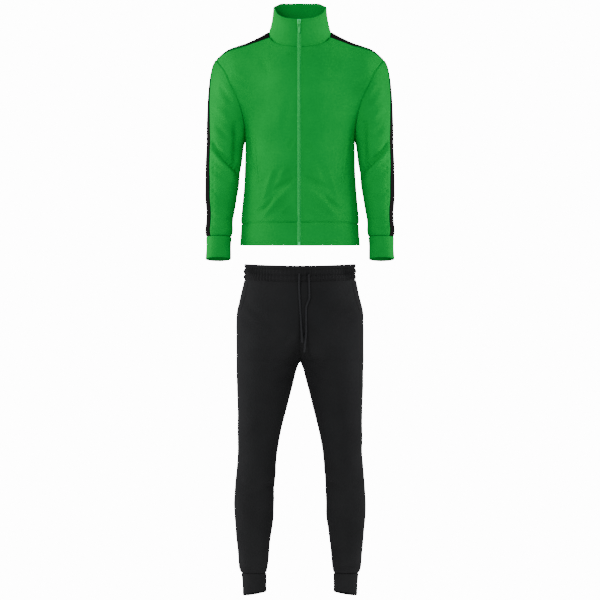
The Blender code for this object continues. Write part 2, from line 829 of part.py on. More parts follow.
def make_zip():
    """The zip's two tapes with their teeth."""
    for name, outer, inner in (("left", ZIP_LEFT, ZIP_MIDDLE), ("right", ZIP_RIGHT, ZIP_MIDDLE)):
        strip = tape(outer, inner)
        wall_object(f"zip_tape_{name}", strip, grid_normals(strip), TAPE, False, GREEN_TAPE)


def make_trousers():
    """The panels, waistband and cuffs of the trousers."""
    heights = trouser_heights()
    front = leg_rows(heights, "front")
    back = leg_rows(heights, "back")[:, ::-1]
    walls = {
        "trouser_front_left": (front, False, CLOTH, BLACK_KNIT),
        "trouser_back_left": (back, False, CLOTH, BLACK_KNIT),
        "ankle_cuff_left": (ankle_cuff(), True, DOUBLE_CLOTH, BLACK_KNIT),
    }
    for name in list(walls):
        points, closed, thickness, looks = walls[name]
        walls[name.replace("_left", "_right")] = (mirrored(points), closed, thickness, looks)
    normals = joined_normals({name: wall[:2] for name, wall in walls.items()})
    for name, (points, closed, thickness, looks) in walls.items():
        wall_object(name, points, normals[name], thickness, closed, looks)
    band, relief = waistband()
    wide = np.concatenate([band[:, -1:], band, band[:, :1]], axis=1)
    wall_object("waistband", band, grid_normals(wide)[:, 1:-1], CLOTH, True, BLACK_KNIT, relief)
    return front


def make_trouser_pockets(front):
    """The stitched edge of each side pocket."""
    line = [(167 + 20 * share**1.4, -764 - 86 * share) for share in between(0, 1, 6)][::-1]
    strip = on_panel(front, line, 7.0, SEAM + POCKET_CLEAR + POCKET_EDGE)
    wall_object("trouser_pocket_edge_left", strip, grid_normals(strip), POCKET_EDGE, False, BLACK_KNIT)
    turned = mirrored(strip)
    wall_object("trouser_pocket_edge_right", turned, grid_normals(turned), POCKET_EDGE, False, BLACK_KNIT)


# Free ends of the drawcord, from the waistband down
CORD_LEFT = table(
    "order x y z",
    (0, 26.8, -117.0, -739),
    (1, 28.5, -118.9, -775),
    (2, 29.0, -122.4, -809),
    (3, 18.5, -123.0, -846),
    (4, 18.6, -122.6, -880),
    (5, 19.0, -121.5, -914),
    (6, 13.5, -119.5, -982),
)
CORD_RIGHT = table(
    "order x y z",
    (0, -2.2, -119.8, -736),
    (1, -2.8, -120.6, -775),
    (2, -0.8, -122.4, -819),
    (3, 3.2, -122.4, -888),
    (4, 7.4, -120.0, -953),
)


def ring_loft(name, outline, levels, looks):
    """A solid through copies of one outline of x and z, at each level's y and scale."""
    centre = np.mean(outline, axis=0)
    rings = []
    for y, scale in levels:
        flat = centre + (outline - centre) * scale
        rings.append(np.stack([flat[:, 0], 0 * flat[:, 0] + y, flat[:, 1]], axis=-1))
    count = len(outline)
    faces = [tuple(range(count)), tuple((len(levels) - 1) * count + k for k in reversed(range(count)))]
    for i in range(len(levels) - 1):
        for k in range(count):
            n = (k + 1) % count
            faces.append((i * count + k, i * count + n, (i + 1) * count + n, (i + 1) * count + k))
    return add_object(name, np.concatenate(rings), faces, looks)


def rounded(half_widths, heights, corner, steps=3):
    """An outline of x and z between two heights, as wide at each end as given, with round corners."""
    (top, bottom), (high, low) = half_widths, heights
    points = []
    for x, z, start in ((top, high, 0), (-top, high, 90), (-bottom, low, 180), (bottom, low, 270)):
        cx = x - math.copysign(corner, x)
        cz = z + (corner if z == low else -corner)
        for k in range(steps + 1):
            turn = math.radians(start + 90 * k / steps)
            points.append((cx + corner * math.cos(turn), cz + corner * math.sin(turn)))
    return np.array(points)


def bar(name, radius, length, y, z, looks, sides=16):
    """A round bar along X."""
    turns = 2 * math.pi * np.arange(sides) / sides
    ring = np.stack([radius * np.cos(turns) + y, radius * np.sin(turns) + z], axis=-1)
    ends = [np.column_stack([np.full(sides, x), ring]) for x in (-length / 2, length / 2)]
    faces = [tuple(range(sides)), tuple(reversed(range(sides, 2 * sides)))]
    for k in range(sides):
        n = (k + 1) % sides
        faces.append((k, n, sides + n, sides + k))
    return add_object(name, np.concatenate(ends), faces, looks)


def combine(body, other, operation):
    """Joins a helper to a body, or cuts it out."""
    other.hide_render = True
    other.display_type = "WIRE"
    other.parent = body
    step = body.modifiers.new(operation.lower(), "BOOLEAN")
    step.operation = operation
    step.object = other
    step.solver = "EXACT"


def zip_frame():
    """Where the zip ends at the collar's rim, and the tilt of the collar there."""
    line = zip_line(ZIP_LEFT)
    top, lower = line[-1], line[-2]
    tilt = -math.atan2(top[1] - lower[1], top[2] - lower[2])
    return np.array([ZIP_MIDDLE, top[1], top[2]]), tilt


def placed(made, origin, tilt, offset=(0.0, 0.0, 0.0)):
    """Sets an object made in the zip's frame in its place."""
    turned = np.array([
        offset[0],
        offset[1] * math.cos(tilt) - offset[2] * math.sin(tilt),
        offset[1] * math.sin(tilt) + offset[2] * math.cos(tilt),
    ])
    made.location = ((np.asarray(origin) + turned) * MM).tolist()
    made.rotation_euler = (tilt, 0.0, 0.0)


def make_slider():
    """The slider's plate with the two lugs and the pin that hold the pull tab."""
    origin, tilt = zip_frame()
    plate_front = -SLIDER_LIFT - SLIDER_PLATE
    pin_y = plate_front - BARREL_RADIUS - PLAY
    outline = rounded((SLIDER_WIDTH / 2, SLIDER_WIDTH / 2 - 1.6),
                      (-SLIDER_DROP, -SLIDER_DROP - SLIDER_LENGTH), 2.2)
    slider = ring_loft("zip_slider", outline,
                       [(-SLIDER_LIFT, 0.94), (-SLIDER_LIFT - 0.6, 1.0), (plate_front + 0.8, 1.0),
                        (plate_front, 0.86)], GREEN_PLASTIC)
    inner = BARREL_WIDTH / 2 + PLAY
    for side in (-1, 1):
        lug_outline = rounded((2.4, 3.0), (-PIN_DROP + 2.2, -PIN_DROP - 3.2), 1.0)
        across = lug_side(lug_outline, pin_y, plate_front)
        lug = np.concatenate([np.column_stack([np.full(len(lug_outline), x), across, lug_outline[:, 1]])
                              for x in (side * inner, side * (inner + LUG))])
        count = len(lug_outline)
        faces = [tuple(range(count)), tuple(reversed(range(count, 2 * count)))]
        for k in range(count):
            n = (k + 1) % count
            faces.append((k, n, count + n, count + k))
        helper = add_object(f"slider_lug_{'left' if side > 0 else 'right'}", lug, faces, GREEN_PLASTIC)
        combine(slider, helper, "UNION")
    pin = bar("slider_pin", PIN_RADIUS, 2 * inner + LUG, pin_y, -PIN_DROP, GREEN_PLASTIC, 12)
    combine(slider, pin, "UNION")
    placed(slider, origin, tilt)
    return origin, tilt, pin_y


def lug_side(outline, pin_y, plate_front):
    """y of a lug's outline, whose x runs from the pin's side to the plate."""
    reach = (outline[:, 0] - outline[:, 0].min()) / np.ptp(outline[:, 0])
    return pin_y - 1.6 + (plate_front + 0.8 - pin_y + 1.6) * reach


def make_tab(origin, tilt, pin_y):
    """The pull tab, which swings on the slider's pin. Its origin is on the pin."""
    outline = np.array([
        (-2.1, 0.6), (2.1, 0.6), (2.3, -4.0), (TAB_WIDTH / 2 - 0.5, -9.0), (TAB_WIDTH / 2, -14.0),
        (TAB_WIDTH / 2, -TAB_LENGTH + 5.0), (TAB_WIDTH / 2 - 1.0, -TAB_LENGTH + 1.6),
        (1.6, -TAB_LENGTH), (-1.6, -TAB_LENGTH), (-TAB_WIDTH / 2 + 1.0, -TAB_LENGTH + 1.6),
        (-TAB_WIDTH / 2, -TAB_LENGTH + 5.0), (-TAB_WIDTH / 2, -14.0),
        (-TAB_WIDTH / 2 + 0.5, -9.0), (-2.3, -4.0),
    ])[::-1]
    shift = BARREL_RADIUS - TAB_STEP
    tab = ring_loft("zip_pull_tab", outline,
                    [(shift, 0.93), (shift - 0.3, 1.0), (shift - TAB + 0.3, 1.0), (shift - TAB, 0.93)],
                    GREEN_PLASTIC)
    combine(tab, bar("tab_barrel", BARREL_RADIUS, BARREL_WIDTH, 0.0, 0.0, GREEN_PLASTIC), "UNION")
    combine(tab, bar("tab_bore", BARREL_BORE, BARREL_WIDTH + 4, 0.0, 0.0, GREEN_PLASTIC), "DIFFERENCE")
    slot = ring_loft("tab_slot", rounded((1.8, 1.8), (-9.5, -20.0), 1.7), [(-4.0, 1.0), (4.0, 1.0)],
                     GREEN_PLASTIC)
    combine(tab, slot, "DIFFERENCE")
    placed(tab, origin, tilt, (0.0, pin_y, -PIN_DROP))


def make_box():
    """The box at the zip's lower end."""
    line = zip_line(ZIP_LEFT)
    low, high = line[0], line[1]
    tilt = -math.atan2(high[1] - low[1], high[2] - low[2])
    lift = TAPE_SINK - SEAM - 0.1
    outline = rounded((BOX_WIDTH / 2, BOX_WIDTH / 2), (BOX_HEIGHT, 0.3), 1.0)
    box = ring_loft("zip_box", outline,
                    [(lift, 1.0), (lift - BOX_DEPTH + 0.7, 1.0), (lift - BOX_DEPTH, 0.84)], GREEN_PLASTIC)
    placed(box, (ZIP_MIDDLE, low[1], low[2]), tilt)


def cord_points(route):
    """Points along a smooth curve through a cord's route."""
    order = route["order"]
    fine = np.linspace(order[0], order[-1], 200)
    curve = np.stack([read(route, axis, fine) for axis in "xyz"], axis=-1)
    length = np.concatenate([[0], np.cumsum(np.linalg.norm(np.diff(curve, axis=0), axis=1))])
    steps = np.linspace(0, length[-1], int(length[-1] / CORD_STEP) + 1)
    return np.stack([np.interp(steps, length, curve[:, k]) for k in range(3)], axis=-1)


def make_cord(name, route):
    """One free end of the drawcord."""
    shape = bpy.data.curves.new(name, "CURVE")
    shape.dimensions = "3D"
    shape.bevel_depth = CORD_RADIUS * MM
    shape.bevel_resolution = 2
    shape.use_fill_caps = True
    points = cord_points(route)
    spline = shape.splines.new("POLY")
    spline.points.add(len(points) - 1)
    for point, place in zip(spline.points, points):
        point.co = (*(place * MM).tolist(), 1.0)
    shape.materials.append(BLACK_KNIT)
    bpy.context.scene.collection.objects.link(bpy.data.objects.new(name, shape))


left_front, right_front = make_jacket()
make_jacket_pockets(left_front, right_front)
make_zip()
front = make_trousers()
make_trouser_pockets(front)
make_tab(*make_slider())
make_box()
make_cord("drawcord_left", CORD_LEFT)
make_cord("drawcord_right", CORD_RIGHT)
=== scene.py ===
"""A track suit filled out as if worn: a green knit jacket with a zip over a pair of black joggers.

+Z is up, the front faces -Y and the wearer's left is at +X. Cloth is laid out in millimetres and turned to
metres when its mesh is made.
"""

import json
import math

import bpy
import numpy as np
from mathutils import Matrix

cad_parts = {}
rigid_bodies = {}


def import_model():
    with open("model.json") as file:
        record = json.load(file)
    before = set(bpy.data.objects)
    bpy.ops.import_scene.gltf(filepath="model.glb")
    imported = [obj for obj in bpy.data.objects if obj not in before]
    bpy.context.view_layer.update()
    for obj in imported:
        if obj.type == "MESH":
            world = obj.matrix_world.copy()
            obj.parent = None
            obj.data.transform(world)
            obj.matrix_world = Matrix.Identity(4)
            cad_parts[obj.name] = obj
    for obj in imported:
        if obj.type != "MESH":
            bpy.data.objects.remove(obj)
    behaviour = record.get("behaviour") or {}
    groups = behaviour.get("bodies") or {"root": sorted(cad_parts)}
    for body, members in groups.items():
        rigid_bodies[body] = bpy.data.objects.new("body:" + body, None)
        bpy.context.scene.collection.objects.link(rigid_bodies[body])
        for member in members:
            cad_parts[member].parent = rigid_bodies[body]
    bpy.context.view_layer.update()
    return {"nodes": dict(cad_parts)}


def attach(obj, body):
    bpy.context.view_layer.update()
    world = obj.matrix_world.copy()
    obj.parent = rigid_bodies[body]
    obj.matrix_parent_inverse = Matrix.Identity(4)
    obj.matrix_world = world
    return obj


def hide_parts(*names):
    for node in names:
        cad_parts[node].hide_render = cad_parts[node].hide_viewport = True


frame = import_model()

for old in [o for o in bpy.data.objects if o.name in ("Cube", "Camera", "Light")]:
    bpy.data.objects.remove(old, do_unlink=True)


# Photographer's stand: a long lens level with the middle of the suit, so long that it sees the suit almost
# square on. Around it are a pale floor, a white surround, a key and a fill box in front and a box at each
# side, a little behind, that lights the edges.
PICTURE_WIDTH = 1.89
CAMERA_DISTANCE = 12.0
CAMERA_HEIGHT = -0.819
WHITE_STRENGTH = 14.0
AMBIENT_STRENGTH = 0.62
FLOOR_RADIUS = 1.1
FLOOR_HEIGHT = -1.86


def linear(code, factor=1.0):
    """Linear colour of an sRGB hex code, times a factor, with an alpha of 1."""
    parts = [int(code[k:k + 2], 16) / 255 for k in (1, 3, 5)]
    return (*[factor * (c / 12.92 if c <= 0.04045 else ((c + 0.055) / 1.055) ** 2.4) for c in parts], 1)


def plug(tree, node, inputs):
    """Sets or links the inputs of a shader node."""
    for name, value in inputs.items():
        if isinstance(value, bpy.types.NodeSocket):
            tree.links.new(value, node.inputs[name])
        else:
            node.inputs[name].default_value = value


def add(tree, kind, inputs=None, **settings):
    """A shader node with its settings, and its inputs set or linked."""
    node = tree.nodes.new(kind)
    for name, value in settings.items():
        setattr(node, name, value)
    plug(tree, node, inputs or {})
    return node


def material(name):
    """A new material with its node tree and its shader."""
    made = bpy.data.materials.new(name)
    made.use_nodes = True
    return made, made.node_tree, made.node_tree.nodes["Principled BSDF"]


def in_scene(made):
    """Puts an object in the scene."""
    bpy.context.scene.collection.objects.link(made)
    return made


lens = bpy.data.cameras.new("long_lens")
lens.sensor_width = 36.0
lens.lens = 36.0 * CAMERA_DISTANCE / PICTURE_WIDTH
lens.clip_end = 60.0
camera = in_scene(bpy.data.objects.new("photo_camera", lens))
camera.location = (0.0, -CAMERA_DISTANCE, CAMERA_HEIGHT)
camera.rotation_euler = (math.pi / 2, 0.0, 0.0)
bpy.context.scene.camera = camera

surround = bpy.data.worlds.new("white_surround")
surround.use_nodes = True
sky = surround.node_tree
sky.nodes.clear()
seen = add(sky, "ShaderNodeLightPath")
white = add(sky, "ShaderNodeBackground", {"Color": (1, 1, 1, 1), "Strength": WHITE_STRENGTH})
ambient = add(sky, "ShaderNodeBackground", {"Color": (0.97, 0.985, 1, 1), "Strength": AMBIENT_STRENGTH})
either = add(sky, "ShaderNodeMixShader", {0: seen.outputs["Is Camera Ray"], 1: ambient.outputs[0],
                                          2: white.outputs[0]})
add(sky, "ShaderNodeOutputWorld", {"Surface": either.outputs[0]})
bpy.context.scene.world = surround

for name, place, aim, size, power in (
        ("key_box", (-1.9, -3.6, 1.3), (0.0, 0.0, -0.8), 1.3, 84.0),
        ("fill_box", (2.4, -4.0, -1.2), (0.0, 0.0, -0.8), 2.2, 34.0),
        ("left_box", (-2.4, 0.4, -0.2), (0.0, 0.0, -0.5), 1.2, 70.0),
        ("right_box", (2.4, 0.4, -0.2), (0.0, 0.0, -0.5), 1.2, 64.0)):
    lamp = bpy.data.lights.new(name, "AREA")
    lamp.shape = "SQUARE"
    lamp.size = size
    lamp.energy = power
    box = in_scene(bpy.data.objects.new(name, lamp))
    box.location = place
    way = np.array(aim) - np.array(place)
    box.rotation_euler = (math.acos(-way[2] / np.linalg.norm(way)), 0.0, math.atan2(-way[0], way[1]))

# White background paper with a fine tooth
paper, tree, shader = material("white_paper")
grain = add(tree, "ShaderNodeTexNoise", {"Scale": 300.0, "Detail": 2.0})
tooth = add(tree, "ShaderNodeBump", {"Height": grain.outputs["Fac"], "Distance": 0.0002})
plug(tree, shader, {"Base Color": linear("#f4f4f2"), "Roughness": 0.9, "Normal": tooth.outputs["Normal"]})
floor_mesh = bpy.data.meshes.new("pale_floor")
turns = [math.pi * k / 32 for k in range(64)]
floor_rim = [(FLOOR_RADIUS * math.cos(turn), FLOOR_RADIUS * math.sin(turn), FLOOR_HEIGHT) for turn in turns]
floor_mesh.from_pydata(floor_rim, [], [list(range(64))])
floor_mesh.materials.append(paper)
in_scene(bpy.data.objects.new("pale_floor", floor_mesh))

# Jacket fronts: brushed-back polyester tricot in green, cut in two panels that meet at the zip. The smooth
# face is outside, so it has a low sheen. The panels carry the creases of the pose.
ARMPIT = -316.0
HEM_SEAM = -580.0
HEM_EDGE = -647.0
ZIP_RIGHT = -8.8
ZIP_LEFT = 2.8
# Thickness of a single layer, of a band folded double and of a pocket's edge
CLOTH = 1.5
DOUBLED = 2.6
WELT = 0.9
FLIP = np.array([-1.0, 1.0, 1.0])


def table(columns, *rows):
    """The named columns of a table whose first column rises from row to row."""
    return dict(zip(columns.split(), np.array(rows, float).T))


def read(rows, column, where):
    """A column's value between the rows, on a cubic curve that never overshoots them."""
    xs = next(iter(rows.values()))
    ys = rows[column]
    where = np.clip(np.asarray(where, float), xs[0], xs[-1])
    step = np.diff(xs)
    slope = np.diff(ys) / step
    total = slope[:-1] + slope[1:]
    product = slope[:-1] * slope[1:]
    inner = np.divide(2 * product, total, out=np.zeros_like(total), where=product > 0)
    tangent = np.concatenate([slope[:1], inner, slope[-1:]])
    cell = np.clip(np.searchsorted(xs, where, side="right") - 1, 0, len(step) - 1)
    u = (where - xs[cell]) / step[cell]
    start = (1 + 2 * u) * (1 - u) ** 2 * ys[cell] + u**2 * (3 - 2 * u) * ys[cell + 1]
    lean = u * (1 - u) ** 2 * tangent[cell] - u**2 * (1 - u) * tangent[cell + 1]
    return start + lean * step[cell]


BODY = table(
    "height half_width front back squareness",
    (-660, 190, 113, 108, 2.25),
    (-645, 189, 114, 109, 2.25),
    (-612, 187, 118, 112, 2.25),
    (-580, 184, 120, 114, 2.25),
    (-560, 184, 123, 116, 2.25),
    (-498, 179, 121, 111, 2.3),
    (-422, 174, 120, 109, 2.35),
    (-316, 172, 124, 114, 2.35),
)
MIDDLE = table(
    "share front back",
    (0.00, 124, 114),
    (0.25, 127, 122),
    (0.50, 124, 124),
    (0.75, 112, 112),
    (0.90, 97, 92),
    (1.00, 86, 76),
)
ARMHOLE = table(
    "height front_x front_y back_x back_y",
    (-316, 172, 0, 172, 0),
    (-306, 172.5, -19, 174, 22),
    (-285, 173, -38, 179, 44),
    (-240, 180, -59, 193, 68),
    (-195, 193, -68, 209, 79),
    (-151, 215, -64, 227, 76),
    (-123, 226, -54, 236, 70),
    (-94, 240, -38, 246, 59),
    (-64, 264, -4, 259, 39),
)
RIDGE = table(
    "x height front_drop back_drop front_y middle_y back_y",
    (98, 24, 18.5, 0, -26, -5, 16),
    (118, 14, 14, 1, -27, -5, 17),
    (143, 0.6, 11, 2, -26, -4, 20),
    (175, -12, 9, 3, -24, -2, 24),
    (215, -25.2, 7.5, 4, -18, 3, 29),
    (241, -38, 4, 4, -11, 10, 34),
    (264, -62, 0, 3, -4, 17, 39),
)
NECK = table(
    "angle height",
    (0, -26),
    (30, -20),
    (60, -4),
    (75, 5.5),
    (90, 24),
    (105, 26),
    (130, 31),
    (180, 34),
)
NECK_STRIPE = (75.0, 90.0, 105.0)
FRONT_FOLDS = table(
    "order start_x start_height end_x end_height depth half_width",
    (0, 20, -436, 86, -478, 2.2, 14),
    (1, 18, -456, 112, -556, -2.2, 14),
    (2, 60, -486, 140, -552, 2.0, 15),
    (3, 150, -330, 118, -440, 2.5, 18),
)


def between(a, b, count):
    """Shares from a to b, for this many cells."""
    return np.linspace(a, b, count + 1)


def mirrored(points):
    """The same wall on the wearer's right."""
    return points[:, ::-1] * FLIP


def lengths(line):
    """How far along a line each of its points lies."""
    return np.concatenate([[0], np.cumsum(np.linalg.norm(np.diff(line, axis=0), axis=1))])


def points_at(line, run, where):
    """The points of a line at these lengths along it."""
    return np.stack([np.interp(where, run, column) for column in line.T], axis=-1)


def body_rows(heights, side, edge):
    """Rows of points below the armhole, side being front or back."""
    rows = []
    for height in heights:
        angle = between(0, 1, 10) * math.pi / 2
        power = 2 / read(BODY, "squareness", height)
        x = edge + (read(BODY, "half_width", height) - edge) * np.sin(angle) ** power
        y = read(BODY, side, height) * np.cos(angle).clip(0) ** power
        if side == "front":
            y = -y
        low = np.clip((height - HEM_SEAM) / (HEM_EDGE - HEM_SEAM), 0, 1)
        fade = np.clip((height - HEM_SEAM - 60) / -60, 0, 1)
        middle = np.clip(1 - (x / 186) ** 2, 0, 1) * (y < 0)
        rows.append(np.stack([x, y, height + middle * (4 * fade * (1 - low) - 2.5 * low)], axis=-1))
    return np.array(rows)


def neck_point(angle, edge=0.0):
    """A point of the neck seam on the wearer's left."""
    around = math.radians(angle)
    depth = 86.0 if angle < 90 else 76.0
    x = edge * max(1 - angle / NECK_STRIPE[0], 0.0) + 98.0 * math.sin(around)
    y = -5 - (depth - 5 * (1 if angle < 90 else -1)) * math.cos(around)
    return np.array([x, y, float(read(NECK, "height", angle))])


def armhole_shares():
    """Shares of the armhole's height, closer together near both ends."""
    return (1 - np.cos(between(0, math.pi, 8))) / 2


def armhole_points(side):
    """The armhole seam from the armpit up to the stripe."""
    heights = ARMPIT + (ARMHOLE["height"][-1] - ARMPIT) * armhole_shares()
    return np.stack([read(ARMHOLE, side + "_x", heights), read(ARMHOLE, side + "_y", heights), heights],
                    axis=-1)


def shoulder_lines():
    """Front edge, middle and back edge of the shoulder stripe, from the neck to the armhole."""
    lines = []
    tips = {"front": armhole_points("front")[-1], "middle": np.array([264.5, 17.0, -61.5]),
            "back": armhole_points("back")[-1]}
    for place, angle in zip(("front", "middle", "back"), NECK_STRIPE):
        x = between(98, 264, 5)
        drop = 0 if place == "middle" else read(RIDGE, place + "_drop", x)
        line = np.stack([x, read(RIDGE, place + "_y", x), read(RIDGE, "height", x) - drop], axis=-1)
        line[0] = neck_point(angle)
        line[-1] = tips[place]
        lines.append(line)
    return lines


def upper_rows(side, edge):
    """Rows of points from the armpit up to the neck seam and the shoulder stripe."""
    bottom = body_rows([ARMPIT], side, edge)[0]
    stripe = shoulder_lines()[0 if side == "front" else 2]
    angles = between(0, 75, 5) if side == "front" else between(180, 105, 5)
    neck = np.array([neck_point(angle, edge) for angle in angles])
    top = np.concatenate([neck, stripe[1:]])
    across = between(0, 1, 10)
    rows = []
    for share, seam in zip(armhole_shares(), armhole_points(side)):
        full = (1 - share**2.6) ** (1 / 1.7)
        row = bottom + (top - bottom) * share
        row[:, 1] = top[:, 1] + (bottom[:, 1] - top[:, 1]) * full
        middle_y = float(read(MIDDLE, side, share)) * (-1 if side == "front" else 1)
        row[:, 1] += (1 - across) ** 2 * (middle_y - row[0, 1])
        row += across[:, None] ** 3 * (seam - row[-1])
        rows.append(row)
    rows[-1] = top
    return np.array(rows)


def grid_normals(points, ring=False):
    """Outward normals of a grid whose columns run anticlockwise and whose rows run up."""
    if ring:
        joined = np.concatenate([points[:, -2:-1], points, points[:, 1:2]], axis=1)
        return grid_normals(joined)[:, 1:-1]
    normals = np.cross(np.gradient(points, axis=1), np.gradient(points, axis=0))
    return normals / np.linalg.norm(normals, axis=-1, keepdims=True).clip(1e-9)


def folded(points, folds, first, flat_x):
    """The large folds pressed into a wall along straight lines."""
    normals = grid_normals(points)
    for k in range(len(folds["order"])):
        start = np.array([folds["start_" + first][k], folds["start_height"][k]])
        end = np.array([folds["end_" + first][k], folds["end_height"][k]])
        here = np.stack([flat_x(points), points[..., 2]], axis=-1)
        scale = np.array([1.1 if first == "angle" else 1.0, 1.0])
        line = (end - start) * scale
        offset = (here - start) * scale
        along = np.clip((offset @ line) / (line @ line), 0, 1)
        away = np.linalg.norm(offset - along[..., None] * line, axis=-1)
        press = folds["depth"][k] * np.exp(-((away / folds["half_width"][k]) ** 2))
        press[0] = press[-1] = 0
        press[:, 0] = press[:, -1] = 0
        points = points - normals * press[..., None]
    return points


def places(each, *cells):
    """Where the fine lines lie among coarse cells, closer together beside each seam."""
    close = np.array([0.035, 0.08, 0.135, 0.19, 0.25])
    found = []
    start = 0
    for count in cells:
        even = between(0, count, count * each)
        even = even[(even == 0) | (even == count) | (even > 0.27) & (even < count - 0.27)]
        found += [start + even, start + close, start + count - close]
        start += count
    return np.unique(np.round(np.concatenate(found), 6))


def finer(points, where, corners=None, ring=False):
    """Points along the first axis at these places, on smooth curves through the given ones."""
    if ring:
        points = np.concatenate([points[-1:], points, points[:2]])
        where = where + 1
    ahead = np.diff(points, axis=0)
    arriving = np.concatenate([ahead[:1], ahead])
    leaving = np.concatenate([ahead, ahead[-1:]])
    smooth = (arriving + leaving) / 2
    smooth[0] = 1.5 * ahead[0] - 0.5 * smooth[1]
    smooth[-1] = 1.5 * ahead[-1] - 0.5 * smooth[-2]
    sharp = 0 if corners is None else corners[..., None]
    arriving = smooth + (arriving - smooth) * sharp
    leaving = smooth + (leaving - smooth) * sharp
    cell = np.clip(where.astype(int), 0, len(points) - 2)
    u = (where - cell)[:, None, None]
    return ((1 + 2 * u) * (1 - u) ** 2 * points[cell] + u**2 * (3 - 2 * u) * points[cell + 1]
            + u * (1 - u) ** 2 * leaving[cell] - u**2 * (1 - u) * arriving[cell + 1])


def fine_grid(points, rows, columns, row_corner=None, column_corner=None, ring=False):
    """A grid on smooth curves both ways. A corner is (row, column, reach), and fades over its reach."""
    count, width = points.shape[:2]
    turns = np.zeros((count, width))
    if row_corner:
        row, column, reach = row_corner
        turns[row] = np.clip(1 - np.abs(np.arange(width) - column) / reach, 0, 1)
    points = finer(points, rows, turns)
    turns = np.zeros((width, len(rows)))
    for row, column, reach in column_corner or []:
        turns[column] = np.clip(1 - np.abs(rows - row) / reach, 0, 1)
    return finer(points.transpose(1, 0, 2), columns, None if ring else turns, ring).transpose(1, 0, 2)


def eased(points, rows, columns, rounds=30):
    """A grid with its small kinks smoothed away between its four edges, its large shape kept."""
    for k in range(2 * rounds):
        amount = 0.5 if k % 2 == 0 else -0.52
        before, after = np.diff(rows)[:-1, None, None], np.diff(rows)[1:, None, None]
        up = (points[:-2, 1:-1] * after + points[2:, 1:-1] * before) / (before + after)
        left, right = np.diff(columns)[:-1, None], np.diff(columns)[1:, None]
        across = (points[1:-1, :-2] * right + points[1:-1, 2:] * left) / (left + right)
        points = points.copy()
        points[1:-1, 1:-1] += amount * ((up + across) / 2 - points[1:-1, 1:-1])
    return levelled(points)


def levelled(points, reach=22.0, fade=34.0):
    """A grid whose depths follow a straight fit of their neighbours, along its rows and then its columns."""
    points = points.copy()
    for lines in (points, points.transpose(1, 0, 2)):
        for line in lines[1:-1]:
            run = lengths(line)
            offset = run[None, :] - run[:, None]
            weight = np.exp(-0.5 * (offset / reach) ** 2) * np.gradient(run)
            flat = weight.sum(axis=1)
            slope = (weight * offset).sum(axis=1)
            square = (weight * offset**2).sum(axis=1)
            level = weight @ line[:, 1]
            tilt = (weight * offset) @ line[:, 1]
            fitted = (square * level - slope * tilt) / (flat * square - slope**2).clip(1e-9)
            share = np.clip(np.minimum(run, run[-1] - run) / fade, 0, 1)
            line[:, 1] += share**2 * (3 - 2 * share) * (fitted - line[:, 1])
    return points


def ripple(points, size, seed):
    """Slow irregular waves through space, about this many millimetres long, from -1 to 1."""
    chance = np.random.default_rng(seed)
    total = 0
    for _ in range(7):
        heading = chance.normal(size=3)
        heading *= 2 * math.pi / (size * chance.uniform(0.75, 1.5)) / np.linalg.norm(heading)
        total = total + np.sin(points @ heading + chance.uniform(0, 6.3))
    return total / 4.5


def seams(points, rules, seed=3):
    """Height of the cloth beside its seams: a sunk join, small puckers and the groove of a stitched line.
    A rule is (edge, depth of the join, distance to the stitches)."""
    relief = np.zeros(points.shape[:2])
    pucker = ripple(points, 15.0, seed)
    for edge, depth, stitched in rules:
        grid = points if edge in ("low", "high") else points.transpose(1, 0, 2)
        flip = slice(None, None, -1) if edge in ("high", "end") else slice(None)
        grid = grid[flip]
        steps = np.linalg.norm(np.diff(grid, axis=0), axis=-1)
        away = np.concatenate([np.zeros((1, grid.shape[1])), np.cumsum(steps, axis=0)])
        sunk = 1.4 * depth * np.exp(-((away / 2.3) ** 2))
        shape = 0.3 * depth * np.exp(-(((away - 4.5) / 2.5) ** 2)) - sunk
        if stitched:
            shape = shape - 0.45 * np.exp(-(((away - stitched) / 1.1) ** 2))
        shape = shape[flip]
        away = away[flip]
        if edge in ("start", "end"):
            shape = shape.T
            away = away.T
        relief += shape + 0.3 * abs(depth) * pucker * np.exp(-away / 9) * (1 - np.exp(-away / 2))
    return relief


def raised(grid, normals, wave, rules):
    """The cloth of a grid, moved out by its waves and creases and in along its seams."""
    return grid + normals * (wave + seams(grid, rules))[..., None]


# Creases are laid this many times as deep as their tables say, so that they show under the soft light
CREASE_DEPTH = 2.3


def creases(points, normals, rows, facing):
    """Height of soft creases laid over the cloth as the eye sees it from the front or the back.
    A row is three points of x and height along the crease, its depth and half its width."""
    seen_part = np.clip((facing * normals[..., 1] - 0.02) / 0.35, 0, 1)
    here = points[..., [0, 2]]
    relief = np.zeros(points.shape[:2])
    share = between(0, 1, 16)
    for x0, z0, x1, z1, x2, z2, depth, half_width in rows:
        a, b, c = np.array([x0, z0]), np.array([x1, z1]), np.array([x2, z2])
        bend = 2 * b - (a + c) / 2
        nearest = np.full(points.shape[:2], 1e9)
        best = np.zeros(points.shape[:2])
        for t in share:
            spot = a * (1 - t) ** 2 + bend * 2 * t * (1 - t) + c * t**2
            away = np.hypot(here[..., 0] - spot[0], here[..., 1] - spot[1])
            closer = away < nearest
            nearest = np.where(closer, away, nearest)
            best = np.where(closer, t, best)
        full = (4 * best * (1 - best)).clip(0) ** 0.6 * 0.85 + 0.15
        wide = half_width * (0.55 + 0.45 * full)
        ridges = 0.3 * np.exp(-(((nearest - 1.9 * wide) / wide) ** 2))
        relief -= CREASE_DEPTH * depth * full * (np.exp(-((nearest / wide) ** 2)) - ridges)
    return relief * seen_part


# The wave texture's period at a scale of 1
WAVE_PERIOD = 0.314


